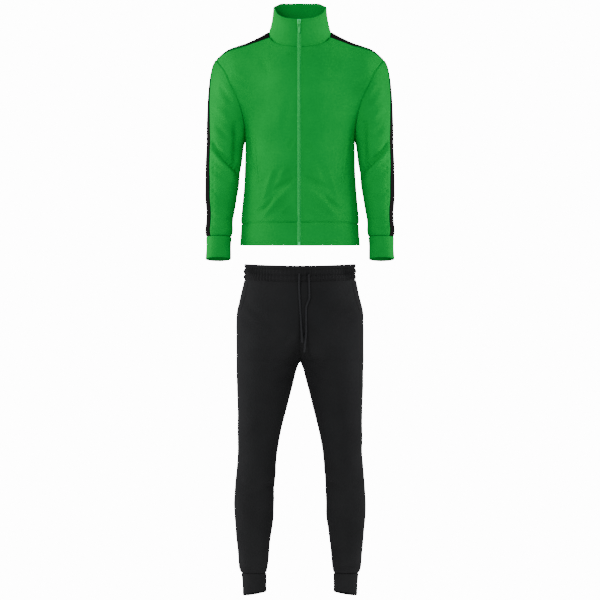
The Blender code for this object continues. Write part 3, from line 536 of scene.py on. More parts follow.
def knit(name, dark, light, rough, sheen, sheen_tint, wale=1.6):
    """Fine polyester tricot. Its real wales lie 0.7 mm apart, too fine for the picture, so they are drawn
    about twice as coarse. The smooth face gives a soft sheen towards its edges."""
    made, tree, shader = material(name)
    place = add(tree, "ShaderNodeTexCoord").outputs
    cloudy = add(tree, "ShaderNodeTexNoise", {"Vector": place["Object"], "Scale": 9.0, "Detail": 4.0})
    fibre = add(tree, "ShaderNodeTexNoise", {"Vector": place["Object"], "Scale": 650.0, "Detail": 3.0})
    crumple = add(tree, "ShaderNodeTexNoise", {"Vector": place["Object"], "Scale": 34.0, "Detail": 3.0})
    wales, courses = [
        add(tree, "ShaderNodeTexWave", {"Vector": place["UV"], "Scale": WAVE_PERIOD / apart,
                                        "Distortion": wander, "Detail": 1.0, "Detail Scale": 0.6},
            bands_direction=way).outputs["Fac"]
        for apart, wander, way in ((wale, 0.5, "X"), (0.8 * wale, 0.4, "Y"))]
    loops = add(tree, "ShaderNodeMath", {0: wales, 1: courses}, operation="MULTIPLY").outputs[0]
    mottle = add(tree, "ShaderNodeMath", {0: cloudy.outputs["Fac"], 1: 0.55, 2: 0.08}, operation="MULTIPLY_ADD")
    speck = add(tree, "ShaderNodeMath", {0: fibre.outputs["Fac"], 1: 0.3, 2: mottle.outputs[0]},
                operation="MULTIPLY_ADD")
    depth = add(tree, "ShaderNodeMath", {0: loops, 1: 0.25, 2: speck.outputs[0]}, operation="MULTIPLY_ADD",
                use_clamp=True)
    colour = add(tree, "ShaderNodeMixRGB", {"Fac": depth.outputs[0], "Color1": linear(dark),
                                            "Color2": linear(light)})
    bumps = add(tree, "ShaderNodeBump", {"Height": crumple.outputs["Fac"], "Distance": 0.002, "Strength": 0.22})
    yarn = add(tree, "ShaderNodeBump", {"Height": loops, "Distance": 0.00035, "Strength": 0.6,
                                        "Normal": bumps.outputs["Normal"]})
    uneven = add(tree, "ShaderNodeMath", {0: fibre.outputs["Fac"], 1: 0.16, 2: rough - 0.08},
                 operation="MULTIPLY_ADD")
    plug(tree, shader, {
        "Base Color": colour.outputs[0], "Normal": yarn.outputs["Normal"], "Roughness": uneven.outputs[0],
        "Sheen Weight": sheen, "Sheen Roughness": 0.45, "Sheen Tint": linear(sheen_tint),
        "Specular IOR Level": 0.05, "IOR": 1.15})
    return made


def suit_piece(name, points, faces, looks, node=None, flat=None, smooth=True):
    """An object of the suit, from points in millimetres. Flat is the name and the corners of its UV map."""
    mesh = bpy.data.meshes.new(name)
    mesh.from_pydata((np.array(points).reshape(-1, 3) * 0.001).tolist(), [], faces)
    if flat:
        layer = mesh.uv_layers.new(name=flat[0])
        layer.data.foreach_set("uv", np.array(flat[1], np.float32).ravel())
    if smooth:
        mesh.shade_smooth()
    mesh.materials.append(looks)
    made = in_scene(bpy.data.objects.new(name, mesh))
    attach(made, "suit")
    if node:
        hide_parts(node)
    return made


def cloth(name, node, points, looks, thick=CLOTH, ring=False):
    """A thin sheet of cloth on its laid-out points, with its flat pattern as its UV map in millimetres."""
    rows, columns = points.shape[:2]
    across = np.linalg.norm(np.diff(points, axis=1), axis=-1)
    u = np.concatenate([np.zeros((rows, 1)), np.cumsum(across, axis=1)], axis=1)
    u -= u[:, columns // 2:columns // 2 + 1]
    up = np.linalg.norm(np.diff(points[:, columns // 2], axis=0), axis=-1)
    v = np.repeat(np.concatenate([[0], np.cumsum(up)])[:, None], columns, axis=1)
    kept = columns - 1 if ring else columns
    i, j = np.meshgrid(np.arange(rows - 1), np.arange(columns - 1), indexing="ij")
    i, j = i.ravel(), j.ravel()
    corners = [(i, j), (i, j + 1), (i + 1, j + 1), (i + 1, j)]
    faces = np.stack([a * kept + b % kept for a, b in corners], axis=-1)
    maps = np.stack([np.stack([u[a, b], v[a, b]], axis=-1) for a, b in corners], axis=1)
    made = suit_piece(name, points[:, :kept], faces.tolist(), looks, node, ("flat_pattern", maps))
    wall = made.modifiers.new("thickness", "SOLIDIFY")
    wall.thickness = thick * 0.001
    wall.offset = -1.0
    edge = made.modifiers.new("rounded_edge", "BEVEL")
    edge.width = 0.3 * thick * 0.001
    edge.segments = 2
    edge.limit_method = "ANGLE"
    edge.angle_limit = math.radians(60)


def beside(points, normals, edge, distance):
    """The line on a grid that runs this far from one of its edges, and the directions out of the cloth."""
    grid = np.concatenate([points, normals], axis=2)
    grid = grid if edge in ("low", "high") else grid.transpose(1, 0, 2)
    if edge in ("high", "end"):
        grid = grid[::-1]
    line = []
    for k in range(grid.shape[1]):
        strand = grid[:40, k]
        line.append(points_at(strand, lengths(strand[:, :3]), distance))
    line = np.array(line)
    return line[:, :3], line[:, 3:]


STITCH_PITCH = 3.2
STITCH_LENGTH = 2.5
THREAD_RADIUS = 0.42
END_DEPTH = 0.15
THREAD_LIFT = 0.05


def sew(name, lines, looks):
    """Lock stitches along lines on the cloth: each is a short round thread, sunk at both ends."""
    vertices, faces = [], []
    lift, width = THREAD_LIFT, THREAD_RADIUS
    for line, outward in lines:
        run = lengths(line)
        centres = np.arange(STITCH_PITCH, run[-1] - STITCH_PITCH, STITCH_PITCH)
        spots = [points_at(line, run, centres + share * STITCH_LENGTH) for share in (-0.5, -0.25, 0.25, 0.5)]
        up = points_at(outward, run, centres)
        up /= np.linalg.norm(up, axis=1, keepdims=True)
        side = np.cross(up, spots[3] - spots[0])
        side /= np.linalg.norm(side, axis=1, keepdims=True)
        for k in range(len(centres)):
            base = len(vertices)
            vertices.append(spots[0][k] - up[k] * END_DEPTH)
            for spot in (spots[1][k], spots[2][k]):
                for a, b in ((width, lift), (0, lift + width), (-width, lift), (0, lift - width)):
                    vertices.append(spot + side[k] * a + up[k] * b)
            vertices.append(spots[3][k] - up[k] * END_DEPTH)
            for j in range(4):
                n = (j + 1) % 4
                faces += [(base, base + 1 + n, base + 1 + j), (base + 9, base + 5 + j, base + 5 + n),
                          (base + 1 + j, base + 1 + n, base + 5 + n, base + 5 + j)]
    suit_piece(name, vertices, faces, looks)


def thread(name, shade):
    """Spun polyester sewing thread, with the fine twist of its plies."""
    made, tree, shader = material(name)
    solid = add(tree, "ShaderNodeTexCoord").outputs["Object"]
    twist = add(tree, "ShaderNodeTexNoise", {"Vector": solid, "Scale": 2600.0, "Detail": 1.0}).outputs["Fac"]
    colour = add(tree, "ShaderNodeMixRGB", {"Fac": twist, "Color1": linear(shade),
                                            "Color2": linear(shade, 1.6)})
    ply = add(tree, "ShaderNodeBump", {"Height": twist, "Distance": 0.0001, "Strength": 0.5})
    plug(tree, shader, {"Base Color": colour.outputs[0], "Normal": ply.outputs["Normal"], "Roughness": 0.6,
                        "Specular IOR Level": 0.2})
    return made


green_thread = thread("green_polyester_thread", "#007f2c")
black_thread = thread("black_polyester_thread", "#0b0b0b")
jacket_stitches = []
fronts = {}
green_knit = knit("green_tricot", "#006e27", "#00a540", 0.72, 0.03, "#10ff50")

# Each row: three points of x and height in mm, then depth (ridges are negative) and half width
RIGHT_FRONT_CREASES = [
    (-40, -50, -27, -48, -14, -48, 1.3, 3.5),
    (-22, -318, -29, -332, -35, -346, 1.3, 5),
    (-21, -438, -50, -458, -84, -474, 2.4, 8),
    (-42, -406, -55, -424, -66, -447, -1.3, 8),
    (-18, -458, -70, -507, -116, -560, -2.0, 9),
    (-85, -498, -105, -529, -136, -542, 1.8, 7),
    (-38, -525, -50, -537, -63, -546, -1.1, 6),
    (-86, -416, -101, -462, -114, -504, -1.7, 8),
    (-139, -454, -126, -452, -113, -456, 0.5, 5),
    (-151, -302, -147, -353, -135, -425, -0.9, 6),
    (-214, -118, -190, -132, -158, -152, 1.1, 8),
    (-204, -152, -182, -172, -150, -192, 0.9, 9),
    (-183, -208, -168, -222, -140, -232, 0.8, 9),
    (-28, -200, -44, -236, -52, -290, 0.6, 12),
    (-120, -60, -112, -84, -96, -112, 0.7, 10),
]
LEFT_FRONT_CREASES = [
    (9, -39, 23, -41, 38, -38, 1.0, 3.5),
    (17, -330, 24, -342, 34, -352, 1.0, 5),
    (16, -430, 48, -452, 79, -464, 2.1, 8),
    (40, -398, 56, -420, 62, -440, -1.2, 8),
    (14, -466, 64, -506, 121, -566, -1.9, 9),
    (80, -494, 104, -520, 131, -536, 1.9, 7),
    (34, -532, 46, -540, 66, -552, -1.0, 6),
    (90, -410, 102, -456, 118, -498, -1.5, 8),
    (141, -448, 127, -450, 112, -462, 0.5, 5),
    (152, -300, 147, -350, 134, -418, -0.8, 6),
    (212, -122, 186, -140, 152, -156, 1.0, 8),
    (206, -158, 180, -170, 146, -186, 0.9, 9),
    (184, -212, 166, -220, 136, -240, 0.8, 9),
    (30, -210, 42, -250, 60, -284, 0.6, 12),
    (118, -66, 108, -90, 92, -108, 0.6, 10),
]


def hem_roll(points):
    """The cloth bulges just above the hem band, which holds it in."""
    above = points[..., 2] - HEM_SEAM
    swell = 1.6 + 0.7 * ripple(points, 70.0, 11)
    return swell * np.exp(-(((above - 13) / 9) ** 2))


def front_panel(edge):
    """One front, from the hem seam to the neck and the shoulder stripe."""
    heights = between(HEM_SEAM, ARMPIT, 8)
    grid = np.concatenate([body_rows(heights, "front", edge), upper_rows("front", edge)[1:]])
    return folded(grid, FRONT_FOLDS, "x", lambda points: np.abs(points[..., 0]))


PANEL_ROWS = places(7, 8, 8)


def fine_panel(grid):
    """A front on fine lines, with its corners at the neck and the armpit."""
    columns = places(7, 5, 5)
    return eased(fine_grid(grid, PANEL_ROWS, columns, (8, 10, 3), [(16, 5, 2)]), PANEL_ROWS, columns)


for side, grid, marks in (
        ("left", fine_panel(front_panel(ZIP_LEFT)), LEFT_FRONT_CREASES),
        ("right", mirrored(fine_panel(front_panel(-ZIP_RIGHT))), RIGHT_FRONT_CREASES)):
    normals = grid_normals(grid)
    zip_edge, armhole_edge = ("start", "end") if side == "left" else ("end", "start")
    wave = creases(grid, normals, marks, -1) + hem_roll(grid) + 0.5 * ripple(grid, 95.0, 5)
    joins = [("low", 1.3, 6), ("high", 1.2, 0), (zip_edge, 0.5, 5), (armhole_edge, 1.3, 0)]
    shaped = raised(grid, normals, wave, joins)
    cloth(f"front_{side}", f"jacket_front_{side}", shaped, green_knit)
    jacket_stitches += [beside(shaped, normals, "low", 6), beside(shaped, normals, zip_edge, 5)]
    fronts[side] = shaped

# Jacket back: one panel of the same tricot from side seam to side seam, with a few slack folds between the
# shoulder blades and above the hem.
BACK_CREASES = [
    (-150, -120, -110, -160, -60, -178, 1.6, 12),
    (148, -110, 112, -154, 66, -170, 1.5, 12),
    (-164, -250, -120, -268, -74, -262, 1.4, 10),
    (168, -238, 124, -262, 70, -270, 1.5, 10),
    (-120, -420, -70, -450, 10, -462, 2.0, 12),
    (130, -402, 84, -446, 22, -480, -1.8, 12),
    (-130, -500, -60, -526, 34, -530, -1.9, 11),
    (110, -512, 58, -538, -8, -548, 1.6, 10),
    (-8, -60, 4, -160, -6, -250, 0.8, 16),
    (-150, -330, -140, -390, -118, -440, -1.4, 10),
    (152, -322, 142, -372, 126, -430, -1.3, 10),
]


def back_panel():
    """The back, from the wearer's left side seam round to the right one."""
    heights = between(HEM_SEAM, ARMPIT, 8)
    half = np.concatenate([body_rows(heights, "back", 0.0), upper_rows("back", 0.0)[1:]])[:, ::-1]
    return np.concatenate([half, mirrored(half)[:, 1:]], axis=1)


back_columns = places(7, 5, 10, 5)
grid = fine_grid(back_panel(), PANEL_ROWS, back_columns, None, [(16, 5, 2), (16, 15, 2)])
grid = eased(grid, PANEL_ROWS, back_columns)
normals = grid_normals(grid)
wave = creases(grid, normals, BACK_CREASES, 1) + hem_roll(grid) + 0.6 * ripple(grid, 95.0, 5)
shaped = raised(grid, normals, wave, [("low", 1.3, 6), ("high", 1.2, 0), ("start", 1.3, 0), ("end", 1.3, 0)])
cloth("back", "jacket_back", shaped, green_knit)
jacket_stitches.append(beside(shaped, normals, "low", 6))

# Shoulder stripes: a strip of black tricot over each shoulder, from the collar to the armhole, where the
# stripe of the sleeve carries on.
black_stripe = knit("black_tricot", "#0c0b0b", "#1c1a1a", 0.74, 0.03, "#a8a4a6")

grid = fine_grid(np.array(shoulder_lines()), places(8, 2), places(8, 5))
joins = [(edge, 1.1, 0) for edge in ("low", "high", "start", "end")]
for side, strip in (("left", grid), ("right", mirrored(grid))):
    cloth(f"shoulder_stripe_{side}", f"shoulder_stripe_{side}",
          raised(strip, grid_normals(strip), 0.35 * ripple(strip, 60.0, 5), joins),
          black_stripe)

# Sleeves: each has a green front half and back half, joined down the outside by the black stripe and under
# the arm by a seam. The arm is a little bent, so the cloth buckles inside the elbow.
CUFF_SEAM = -620.0
CUFF_EDGE = -691.0
SLEEVE = table(
    "height centre_x centre_y half_width half_depth rise",
    (-691, 256.5, -27, 40.5, 33, 6.3),
    (-655, 256, -26, 39, 34, 5),
    (-628, 255.6, -24, 38.5, 35, 3),
    (-620, 255.2, -24, 40, 37, 3),
    (-609, 254.4, -23, 43.5, 42, 2),
    (-573, 252.8, -20, 42, 45, 0),
    (-535, 249.6, -17, 45, 49, 0),
    (-498, 248, -13, 49.6, 53, 0),
    (-460, 245, -9, 52.8, 57, 0),
    (-422, 243.3, -5, 54.3, 60, 0),
    (-384, 240, -1, 57.5, 64, 0),
    (-345, 236.5, 2, 58.5, 68, 0),
)
SLEEVE_STRIPE = table(
    "height front_edge back_edge",
    (-691, 131, 184),
    (-600, 132, 184),
    (-480, 137, 184),
    (-345, 143, 190),
)
SLEEVE_FOLDS = table(
    "order start_angle start_height end_angle end_height depth half_width",
    (0, 130, -326, 40, -412, 6.0, 17),
    (1, 120, -352, 50, -432, -3.5, 16),
    (2, 300, -350, 350, -420, 4.0, 18),
)
SLEEVE_FRONT_CREASES = [
    (274, -324, 252, -362, 204, -412, 4.2, 8),
    (268, -347, 240, -388, 203, -428, -2.6, 9),
    (204, -255, 200, -330, 207, -400, 3.0, 12),
    (262, -268, 238, -300, 214, -318, 1.6, 9),
    (266, -216, 244, -232, 222, -262, -1.2, 10),
    (248, -150, 232, -176, 214, -206, 1.2, 9),
    (276, -402, 250, -428, 212, -446, 1.4, 8),
    (274, -470, 252, -492, 222, -498, 1.1, 8),
    (272, -540, 250, -556, 226, -560, -0.9, 7),
    (276, -590, 252, -598, 228, -592, 1.0, 6),
    (271, -300, 272, -440, 274, -600, 0.7, 4),
]
SLEEVE_BACK_CREASES = [
    (282, -360, 250, -384, 206, -380, 2.4, 10),
    (284, -390, 252, -416, 210, -424, -1.8, 10),
    (278, -440, 250, -462, 212, -462, 1.6, 9),
    (276, -230, 252, -262, 224, -300, 1.5, 11),
    (272, -520, 248, -540, 220, -546, 1.1, 8),
    (276, -586, 250, -596, 224, -592, 1.0, 6),
]


def sleeve_ring(height):
    """One section of the sleeve, from the underarm seam round the front."""
    front_edge = float(read(SLEEVE_STRIPE, "front_edge", height))
    back_edge = float(read(SLEEVE_STRIPE, "back_edge", height))
    angles = np.concatenate([between(0, front_edge, 8)[:-1], between(front_edge, back_edge, 2)[:-1],
                             between(back_edge, 360, 8)])
    around = np.radians(angles)
    x = read(SLEEVE, "centre_x", height) - read(SLEEVE, "half_width", height) * np.cos(around)
    y = read(SLEEVE, "centre_y", height) - read(SLEEVE, "half_depth", height) * np.sin(around)
    return np.stack([x, y, height + read(SLEEVE, "rise", height) * np.sin(around)], axis=-1)


def sleeve():
    """The whole sleeve, from the cuff seam up to the armhole."""
    rings = [sleeve_ring(height) for height in between(CUFF_SEAM, -345, 15)]
    top = np.concatenate([armhole_points("front"), [shoulder_lines()[1][-1]], armhole_points("back")[::-1]])
    low = rings[-1]
    lift = np.sin(math.pi * between(0, 1, 18))[:, None]
    outward = np.array([0.74, 0.0, -0.67]) * lift ** 0.8 + np.array([0.0, 0.0, -1.0]) * (1 - lift ** 0.8)
    outward[:, 1] += 0.25 * (top[:, 1] - 8) / 76 * lift[:, 0]
    outward /= np.linalg.norm(outward, axis=1, keepdims=True)
    reach = np.linalg.norm(low - top, axis=1, keepdims=True)
    first = top + outward * reach * 0.14
    second = low + np.array([0.0, 0.0, 1.0]) * reach * 0.36
    for u in between(0, 1, 7)[1:]:
        v = 1 - u
        rings.append(low * v**3 + 3 * second * v**2 * u + 3 * first * v * u**2 + top * u**3)

    def angle(points):
        dx = points[..., 0] - read(SLEEVE, "centre_x", points[..., 2])
        dy = points[..., 1] - read(SLEEVE, "centre_y", points[..., 2])
        return np.degrees(np.arctan2(-dy, -dx)) % 360

    return folded(np.array(rings), SLEEVE_FOLDS, "angle", angle)


around_arm = places(8, 8, 2, 8)
arm = fine_grid(sleeve()[:, :-1], places(7, 22), around_arm, ring=True)
arm_normals = grid_normals(arm, ring=True)
front_end = int(np.searchsorted(around_arm, 8))
back_start = int(np.searchsorted(around_arm, 10))
elbow = (creases(arm, arm_normals, SLEEVE_FRONT_CREASES, -1)
         + creases(arm, arm_normals, SLEEVE_BACK_CREASES, 1) + 0.6 * ripple(arm, 80.0, 8))
joins = [("low", 1.2, 6), ("high", 1.3, 0), ("start", 1.0, 0), ("end", 1.0, 0)]
for part, first, last, looks, slot in (("front", 0, front_end, green_knit, "green_knit"),
                                       ("stripe", front_end, back_start, black_stripe, "black_stripe_knit"),
                                       ("back", back_start, len(around_arm) - 1, green_knit, "green_knit")):
    span = slice(first, last + 1)
    shaped = raised(arm[:, span], arm_normals[:, span], elbow[:, span], joins)
    for side, wall in (("left", shaped), ("right", mirrored(shaped))):
        cloth(f"sleeve_{part}_{side}", f"sleeve_{side}_{part}", wall, looks)
    if part != "stripe":
        line, outward = beside(shaped, arm_normals[:, span], "low", 6)
        jacket_stitches += [(line, outward), (line[::-1] * FLIP, outward[::-1] * FLIP)]

# Cuffs: a doubled band of the tricot at each wrist, folded at the lower edge and sewn to the sleeve, which
# is eased in to it.
cuff_rows = np.array([sleeve_ring(height) for height in between(CUFF_EDGE, CUFF_SEAM, 2)])
grid = fine_grid(cuff_rows[:, :-1], places(10, 2), around_arm, ring=True)
shaped = raised(grid, grid_normals(grid, ring=True), 0.5 * ripple(grid, 42.0, 4),
                [("high", 1.3, 0), ("low", 0.6, 0)])
for side, wall in (("left", shaped), ("right", mirrored(shaped))):
    cloth(f"cuff_{side}", f"cuff_{side}", wall, green_knit, DOUBLED, ring=True)

# Collar: a doubled stand collar of the same tricot, sewn into the neck and topstitched along both edges.
RIM = table(
    "angle height",
    (0, 61),
    (25, 65),
    (50, 76),
    (61, 84),
    (73, 96),
    (90, 103),
    (116, 110),
    (134, 118),
    (180, 120),
)


def collar_point(angle, up, edge):
    """A point of the collar, which is widest at the neck seam and stands upright above it."""
    low = neck_point(angle, edge)
    around = math.radians(angle)
    depth = 73.0 if angle < 90 else 62.0
    x = edge * max(1 - angle / NECK_STRIPE[0], 0.0) + 84.0 * math.sin(around)
    y = -3 - (depth - 3 * (1 if angle < 90 else -1)) * math.cos(around)
    rim = np.array([x, y, float(read(RIM, "height", angle))])
    point = rim + (low - rim) * (0.45 * (1 - up) + 0.55 * (1 - up) ** 3)
    point[2] = low[2] + (rim[2] - low[2]) * up
    return point


def collar():
    """The stand collar, from the left tape of the zip round the neck to the right one."""
    angles = np.concatenate([between(0, 75, 5)[:-1], between(75, 105, 2)[:-1], between(105, 180, 5)])
    rows = []
    for up in between(0, 1, 5):
        left = np.array([collar_point(angle, up, ZIP_LEFT) for angle in angles])
        right = np.array([collar_point(angle, up, -ZIP_RIGHT) for angle in angles])[::-1]
        rows.append(np.concatenate([left, right[1:] * FLIP]))
    return np.array(rows)


grid = fine_grid(collar(), places(8, 5), places(7, 5, 2, 10, 2, 5))
normals = grid_normals(grid)
shaped = raised(grid, normals, 0.5 * ripple(grid, 46.0, 9),
                [("low", 1.2, 6), ("high", 0.4, 7), ("start", 0.4, 5), ("end", 0.4, 5)])
cloth("collar", "collar", shaped, green_knit, DOUBLED)
jacket_stitches += [beside(shaped, normals, edge, far)
                    for edge, far in (("low", 6), ("high", 7), ("start", 5), ("end", 5))]

# Hem band: a doubled band of tricot round the bottom of the jacket, topstitched near its lower edge, with a
# seam down to the zip at each end.
heights = between(HEM_EDGE, HEM_SEAM, 2)
back = body_rows(heights, "back", 0.0)[:, ::-1]
band = np.concatenate([body_rows(heights, "front", ZIP_LEFT), back[:, 1:], mirrored(back)[:, 1:],
                       mirrored(body_rows(heights, "front", -ZIP_RIGHT))[:, 1:]], axis=1)
grid = fine_grid(band, places(10, 2), places(6, 10, 20, 10))
normals = grid_normals(grid)
shaped = raised(grid, normals, 0.6 * ripple(grid, 60.0, 6),
                [("high", 1.3, 0), ("low", 0.4, 9), ("start", 0.4, 6), ("end", 0.4, 6)])
cloth("hem_band", "hem_band", shaped, green_knit, DOUBLED)
jacket_stitches += [beside(shaped, normals, edge, far) for edge, far in (("low", 9), ("start", 6), ("end", 6))]

# Side pockets of the jacket: a slit in each front, finished by a narrow folded welt of the same tricot that
# is stitched down and stands a little open towards the side.


def laid_on(surface, line, offsets, lifts):
    """A strip along a line of x and height on a front, raised by each lift at its offset across."""
    rows = []
    for x, height in line:
        columns = range(surface.shape[1])
        level_x = np.array([np.interp(height, surface[:, j, 2], surface[:, j, 0]) for j in columns])
        level_y = np.array([np.interp(height, surface[:, j, 2], surface[:, j, 1]) for j in columns])
        row = x + np.array(offsets, float)
        rows.append(np.stack([row, np.interp(row, level_x, level_y), np.full(len(row), height)], axis=-1))
    strip = np.array(rows)
    return strip + grid_normals(strip) * np.array(lifts)[:, None]


for side, sign in (("left", 1), ("right", -1)):
    line = [(sign * (145 - 13 * share), -326 - 124 * share) for share in between(1, 0, 40)]
    offsets = (-4.5, -4.0, -2.5, 0, 2.5, 4.0, 4.5)
    lifts = np.array([-0.4, 0.1, 0.4, 0.6, 1.0, 1.0, 0.1])
    strip = laid_on(fronts[side], line, offsets, lifts if sign > 0 else lifts[::-1])
    cloth(f"pocket_welt_{side}", f"jacket_pocket_edge_{side}", strip, green_knit, WELT)
    normals = grid_normals(strip)
    jacket_stitches.append(beside(strip, normals, "start" if sign > 0 else "end", 2.2))

sew("jacket_stitching", jacket_stitches, green_thread)

# Zip: an open-end zip of moulded teeth on woven tapes, in a brighter green than the cloth. The tapes are
# sewn under the edges of the fronts, and the wearer's left edge stands over its tape, which shades it.
ZIP_MIDDLE = (ZIP_RIGHT + ZIP_LEFT) / 2


def zip_line(side):
    """The line of a front's edge from the hem to the collar's rim, in steps of about 3 mm."""
    hem = body_rows(between(HEM_EDGE, HEM_SEAM, 2), "front", side)[:, :1]
    front = front_panel(side)[:, :1]
    top = np.array([[collar_point(0, up, side)] for up in between(0, 1, 5)])
    line = np.concatenate([finer(hem, between(0, 2, 24)), finer(front, between(0, 16, 160))[1:],
                           finer(top, between(0, 5, 30))[1:]])[:, 0]
    run = lengths(line)
    return points_at(line, run, np.linspace(0, run[-1], int(run[-1] / 3.0) + 1))


def woven_tape(name):
    """Polyester zip tape in a close twill. Its ribs lie about 0.8 mm apart and are drawn at 1.2 mm."""
    made, tree, shader = material(name)
    flat = add(tree, "ShaderNodeTexCoord").outputs["UV"]
    turned = add(tree, "ShaderNodeMapping", {"Vector": flat, "Rotation": (0, 0, 0.6)})
    ribs = add(tree, "ShaderNodeTexWave", {"Vector": turned.outputs[0], "Scale": WAVE_PERIOD / 1.2,
                                           "Distortion": 0.3}, bands_direction="Y").outputs["Fac"]
    colour = add(tree, "ShaderNodeMixRGB", {"Fac": ribs, "Color1": linear("#009440"),
                                            "Color2": linear("#00cc5c")})
    weave = add(tree, "ShaderNodeBump", {"Height": ribs, "Distance": 0.0003, "Strength": 0.6})
    plug(tree, shader, {"Base Color": colour.outputs[0], "Normal": weave.outputs["Normal"], "Roughness": 0.6,
                        "Sheen Weight": 0.15, "Sheen Tint": linear("#40ff80"), "Specular IOR Level": 0.2})
    return made


def moulded(name, dark, light):
    """Moulded acetal plastic: an even satin gloss over a faint mould grain, lighter and duller in soft random
    patches.
    """
    made, tree, shader = material(name)
    solid = add(tree, "ShaderNodeTexCoord").outputs["Object"]
    grain = add(tree, "ShaderNodeTexNoise", {"Vector": solid, "Scale": 900.0, "Detail": 2.0})
    rubbed = add(tree, "ShaderNodeTexNoise", {"Vector": solid, "Scale": 160.0, "Detail": 3.0}).outputs["Fac"]
    colour = add(tree, "ShaderNodeMixRGB", {"Fac": rubbed, "Color1": linear(dark), "Color2": linear(light)})
    skin = add(tree, "ShaderNodeBump", {"Height": grain.outputs["Fac"], "Distance": 0.0001, "Strength": 0.3})
    gloss = add(tree, "ShaderNodeMath", {0: rubbed, 1: 0.25, 2: 0.38}, operation="MULTIPLY_ADD")
    plug(tree, shader, {"Base Color": colour.outputs[0], "Normal": skin.outputs["Normal"],
                        "Roughness": gloss.outputs[0], "IOR": 1.48, "Specular IOR Level": 0.2})
    return made


tape_weave = woven_tape("green_polyester_tape")
tooth_plastic = moulded("green_acetal_teeth", "#00a044", "#00cc5c")
slider_plastic = moulded("green_acetal_slider", "#00c060", "#14e884")
TOOTH_PITCH = 3.1
TOOTH_MIDDLE = 0.85
TOOTH_LAYERS = ((-0.5, 1.0), (0.75, 1.0), (1.15, 0.72))
TOOTH_OUTLINE = ((-1.0, 0.55), (0.5, 0.75), (0.9, 0.45), (2.7, 0.5), (2.7, -0.5), (0.9, -0.45), (0.5, -0.75),
                 (-1.0, -0.55))
for side, sign, outer, sink in (("left", 1, ZIP_LEFT, 2.8), ("right", -1, ZIP_RIGHT, 0.5)):
    line = zip_line(abs(outer))
    places_across = [(outer + 2.2 * sign, 2.4), (outer + 0.2 * sign, 2.0), (outer - 0.9 * sign, sink),
                     (ZIP_MIDDLE + 2.9 * sign, min(sink, 1.0)), (ZIP_MIDDLE + 1.6 * sign, 0.2),
                     (ZIP_MIDDLE + 1.0 * sign, -0.3), (ZIP_MIDDLE - 0.4 * sign, 0.3)]
    if sign > 0:
        places_across.reverse()
    strip = np.array([[(x, point[1] + back, point[2]) for x, back in places_across] for point in line])
    cloth(f"zip_tape_{side}", f"zip_tape_{side}", strip, tape_weave, 0.7)
    run = lengths(line)
    centres = np.arange(14.0 + (0.5 * TOOTH_PITCH if sign > 0 else 0), run[-1] - 13.0, TOOTH_PITCH)
    ring = list(range(8))[::sign]
    vertices, faces = [], []
    for centre in centres:
        spot = points_at(line, run, centre)
        ahead = points_at(line, run, centre + 2) - spot
        up = ahead / np.linalg.norm(ahead)
        front = np.array([0.0, -up[2], up[1]])
        base = len(vertices)
        for forward, grow in TOOTH_LAYERS:
            for across, tall in TOOTH_OUTLINE:
                x = ZIP_MIDDLE + sign * (TOOTH_MIDDLE + (across - TOOTH_MIDDLE) * grow)
                vertices.append(np.array([x, spot[1], spot[2]]) + front * forward + up * tall * grow)
        for low in (base, base + 8):
            for a, b in zip(ring, ring[1:] + ring[:1]):
                faces.append((low + a, low + b, low + 8 + b, low + 8 + a))
        faces.append([base + 16 + k for k in ring])
    suit_piece(f"zip_teeth_{side}", vertices, faces, tooth_plastic, smooth=False)

for name, looks in (("zip_slider", slider_plastic), ("zip_pull_tab", tooth_plastic),
                    ("zip_box", slider_plastic)):
    node = frame["nodes"][name]
    node.data.materials.clear()
    node.data.materials.append(looks)

# Trousers: black tricot joggers of four panels, two to a leg, joined by side seams, inseams and a seam
# through the crotch. They taper to the ankles.
WAIST_SEAM = -755.1
CROTCH = -1012.7
ANKLE_SEAM = -1678.0
ANKLE_EDGE = -1743.0
WAIST_HALF = 173.5
WAIST_DIP = 6.0
HIPS = table(
    "height half_width front back parted",
    (-1012.7, 200.6, 104, 114, 1.0),
    (-1004, 200.8, 105, 117, 0.975),
    (-990, 200.8, 107, 121, 0.92),
    (-965, 200.8, 110, 128, 0.80),
    (-930, 200.8, 114, 134, 0.55),
    (-880, 200.8, 118, 136, 0.2),
    (-857, 199.5, 119, 133, 0.1),
    (-838, 196, 119, 129, 0.05),
    (-819, 190, 118, 124, 0),
    (-781, 182, 116, 118, 0),
    (-755.1, 175.5, 112, 113, 0),
)
LEG = table(
    "height centre half_width front back",
    (-1743, 142.8, 37.5, 37, 37),
    (-1700, 143.5, 38, 38, 38),
    (-1684, 144.5, 38, 38, 38),
    (-1678, 145.3, 39.5, 40, 41),
    (-1668, 146.5, 43.5, 44, 46),
    (-1651, 147, 46.5, 46, 50),
    (-1613, 147, 49.6, 50, 55),
    (-1575, 145.7, 54.3, 54, 61),
    (-1537, 145.7, 57.5, 58, 67),
    (-1499, 144.5, 62.2, 61, 71),
    (-1462, 145, 63.8, 63, 72),
    (-1424, 144, 62.2, 65, 71),
    (-1386, 141, 62.2, 67, 70),
    (-1310, 134.7, 62.2, 71, 72),
    (-1235, 128.4, 68.5, 78, 79),
    (-1159, 118.9, 78, 88, 91),
    (-1084, 111, 89, 98, 103),
    (-1046, 106.3, 93.7, 102, 109),
    (-1012.7, 100.3, 100.3, 104, 114),
)
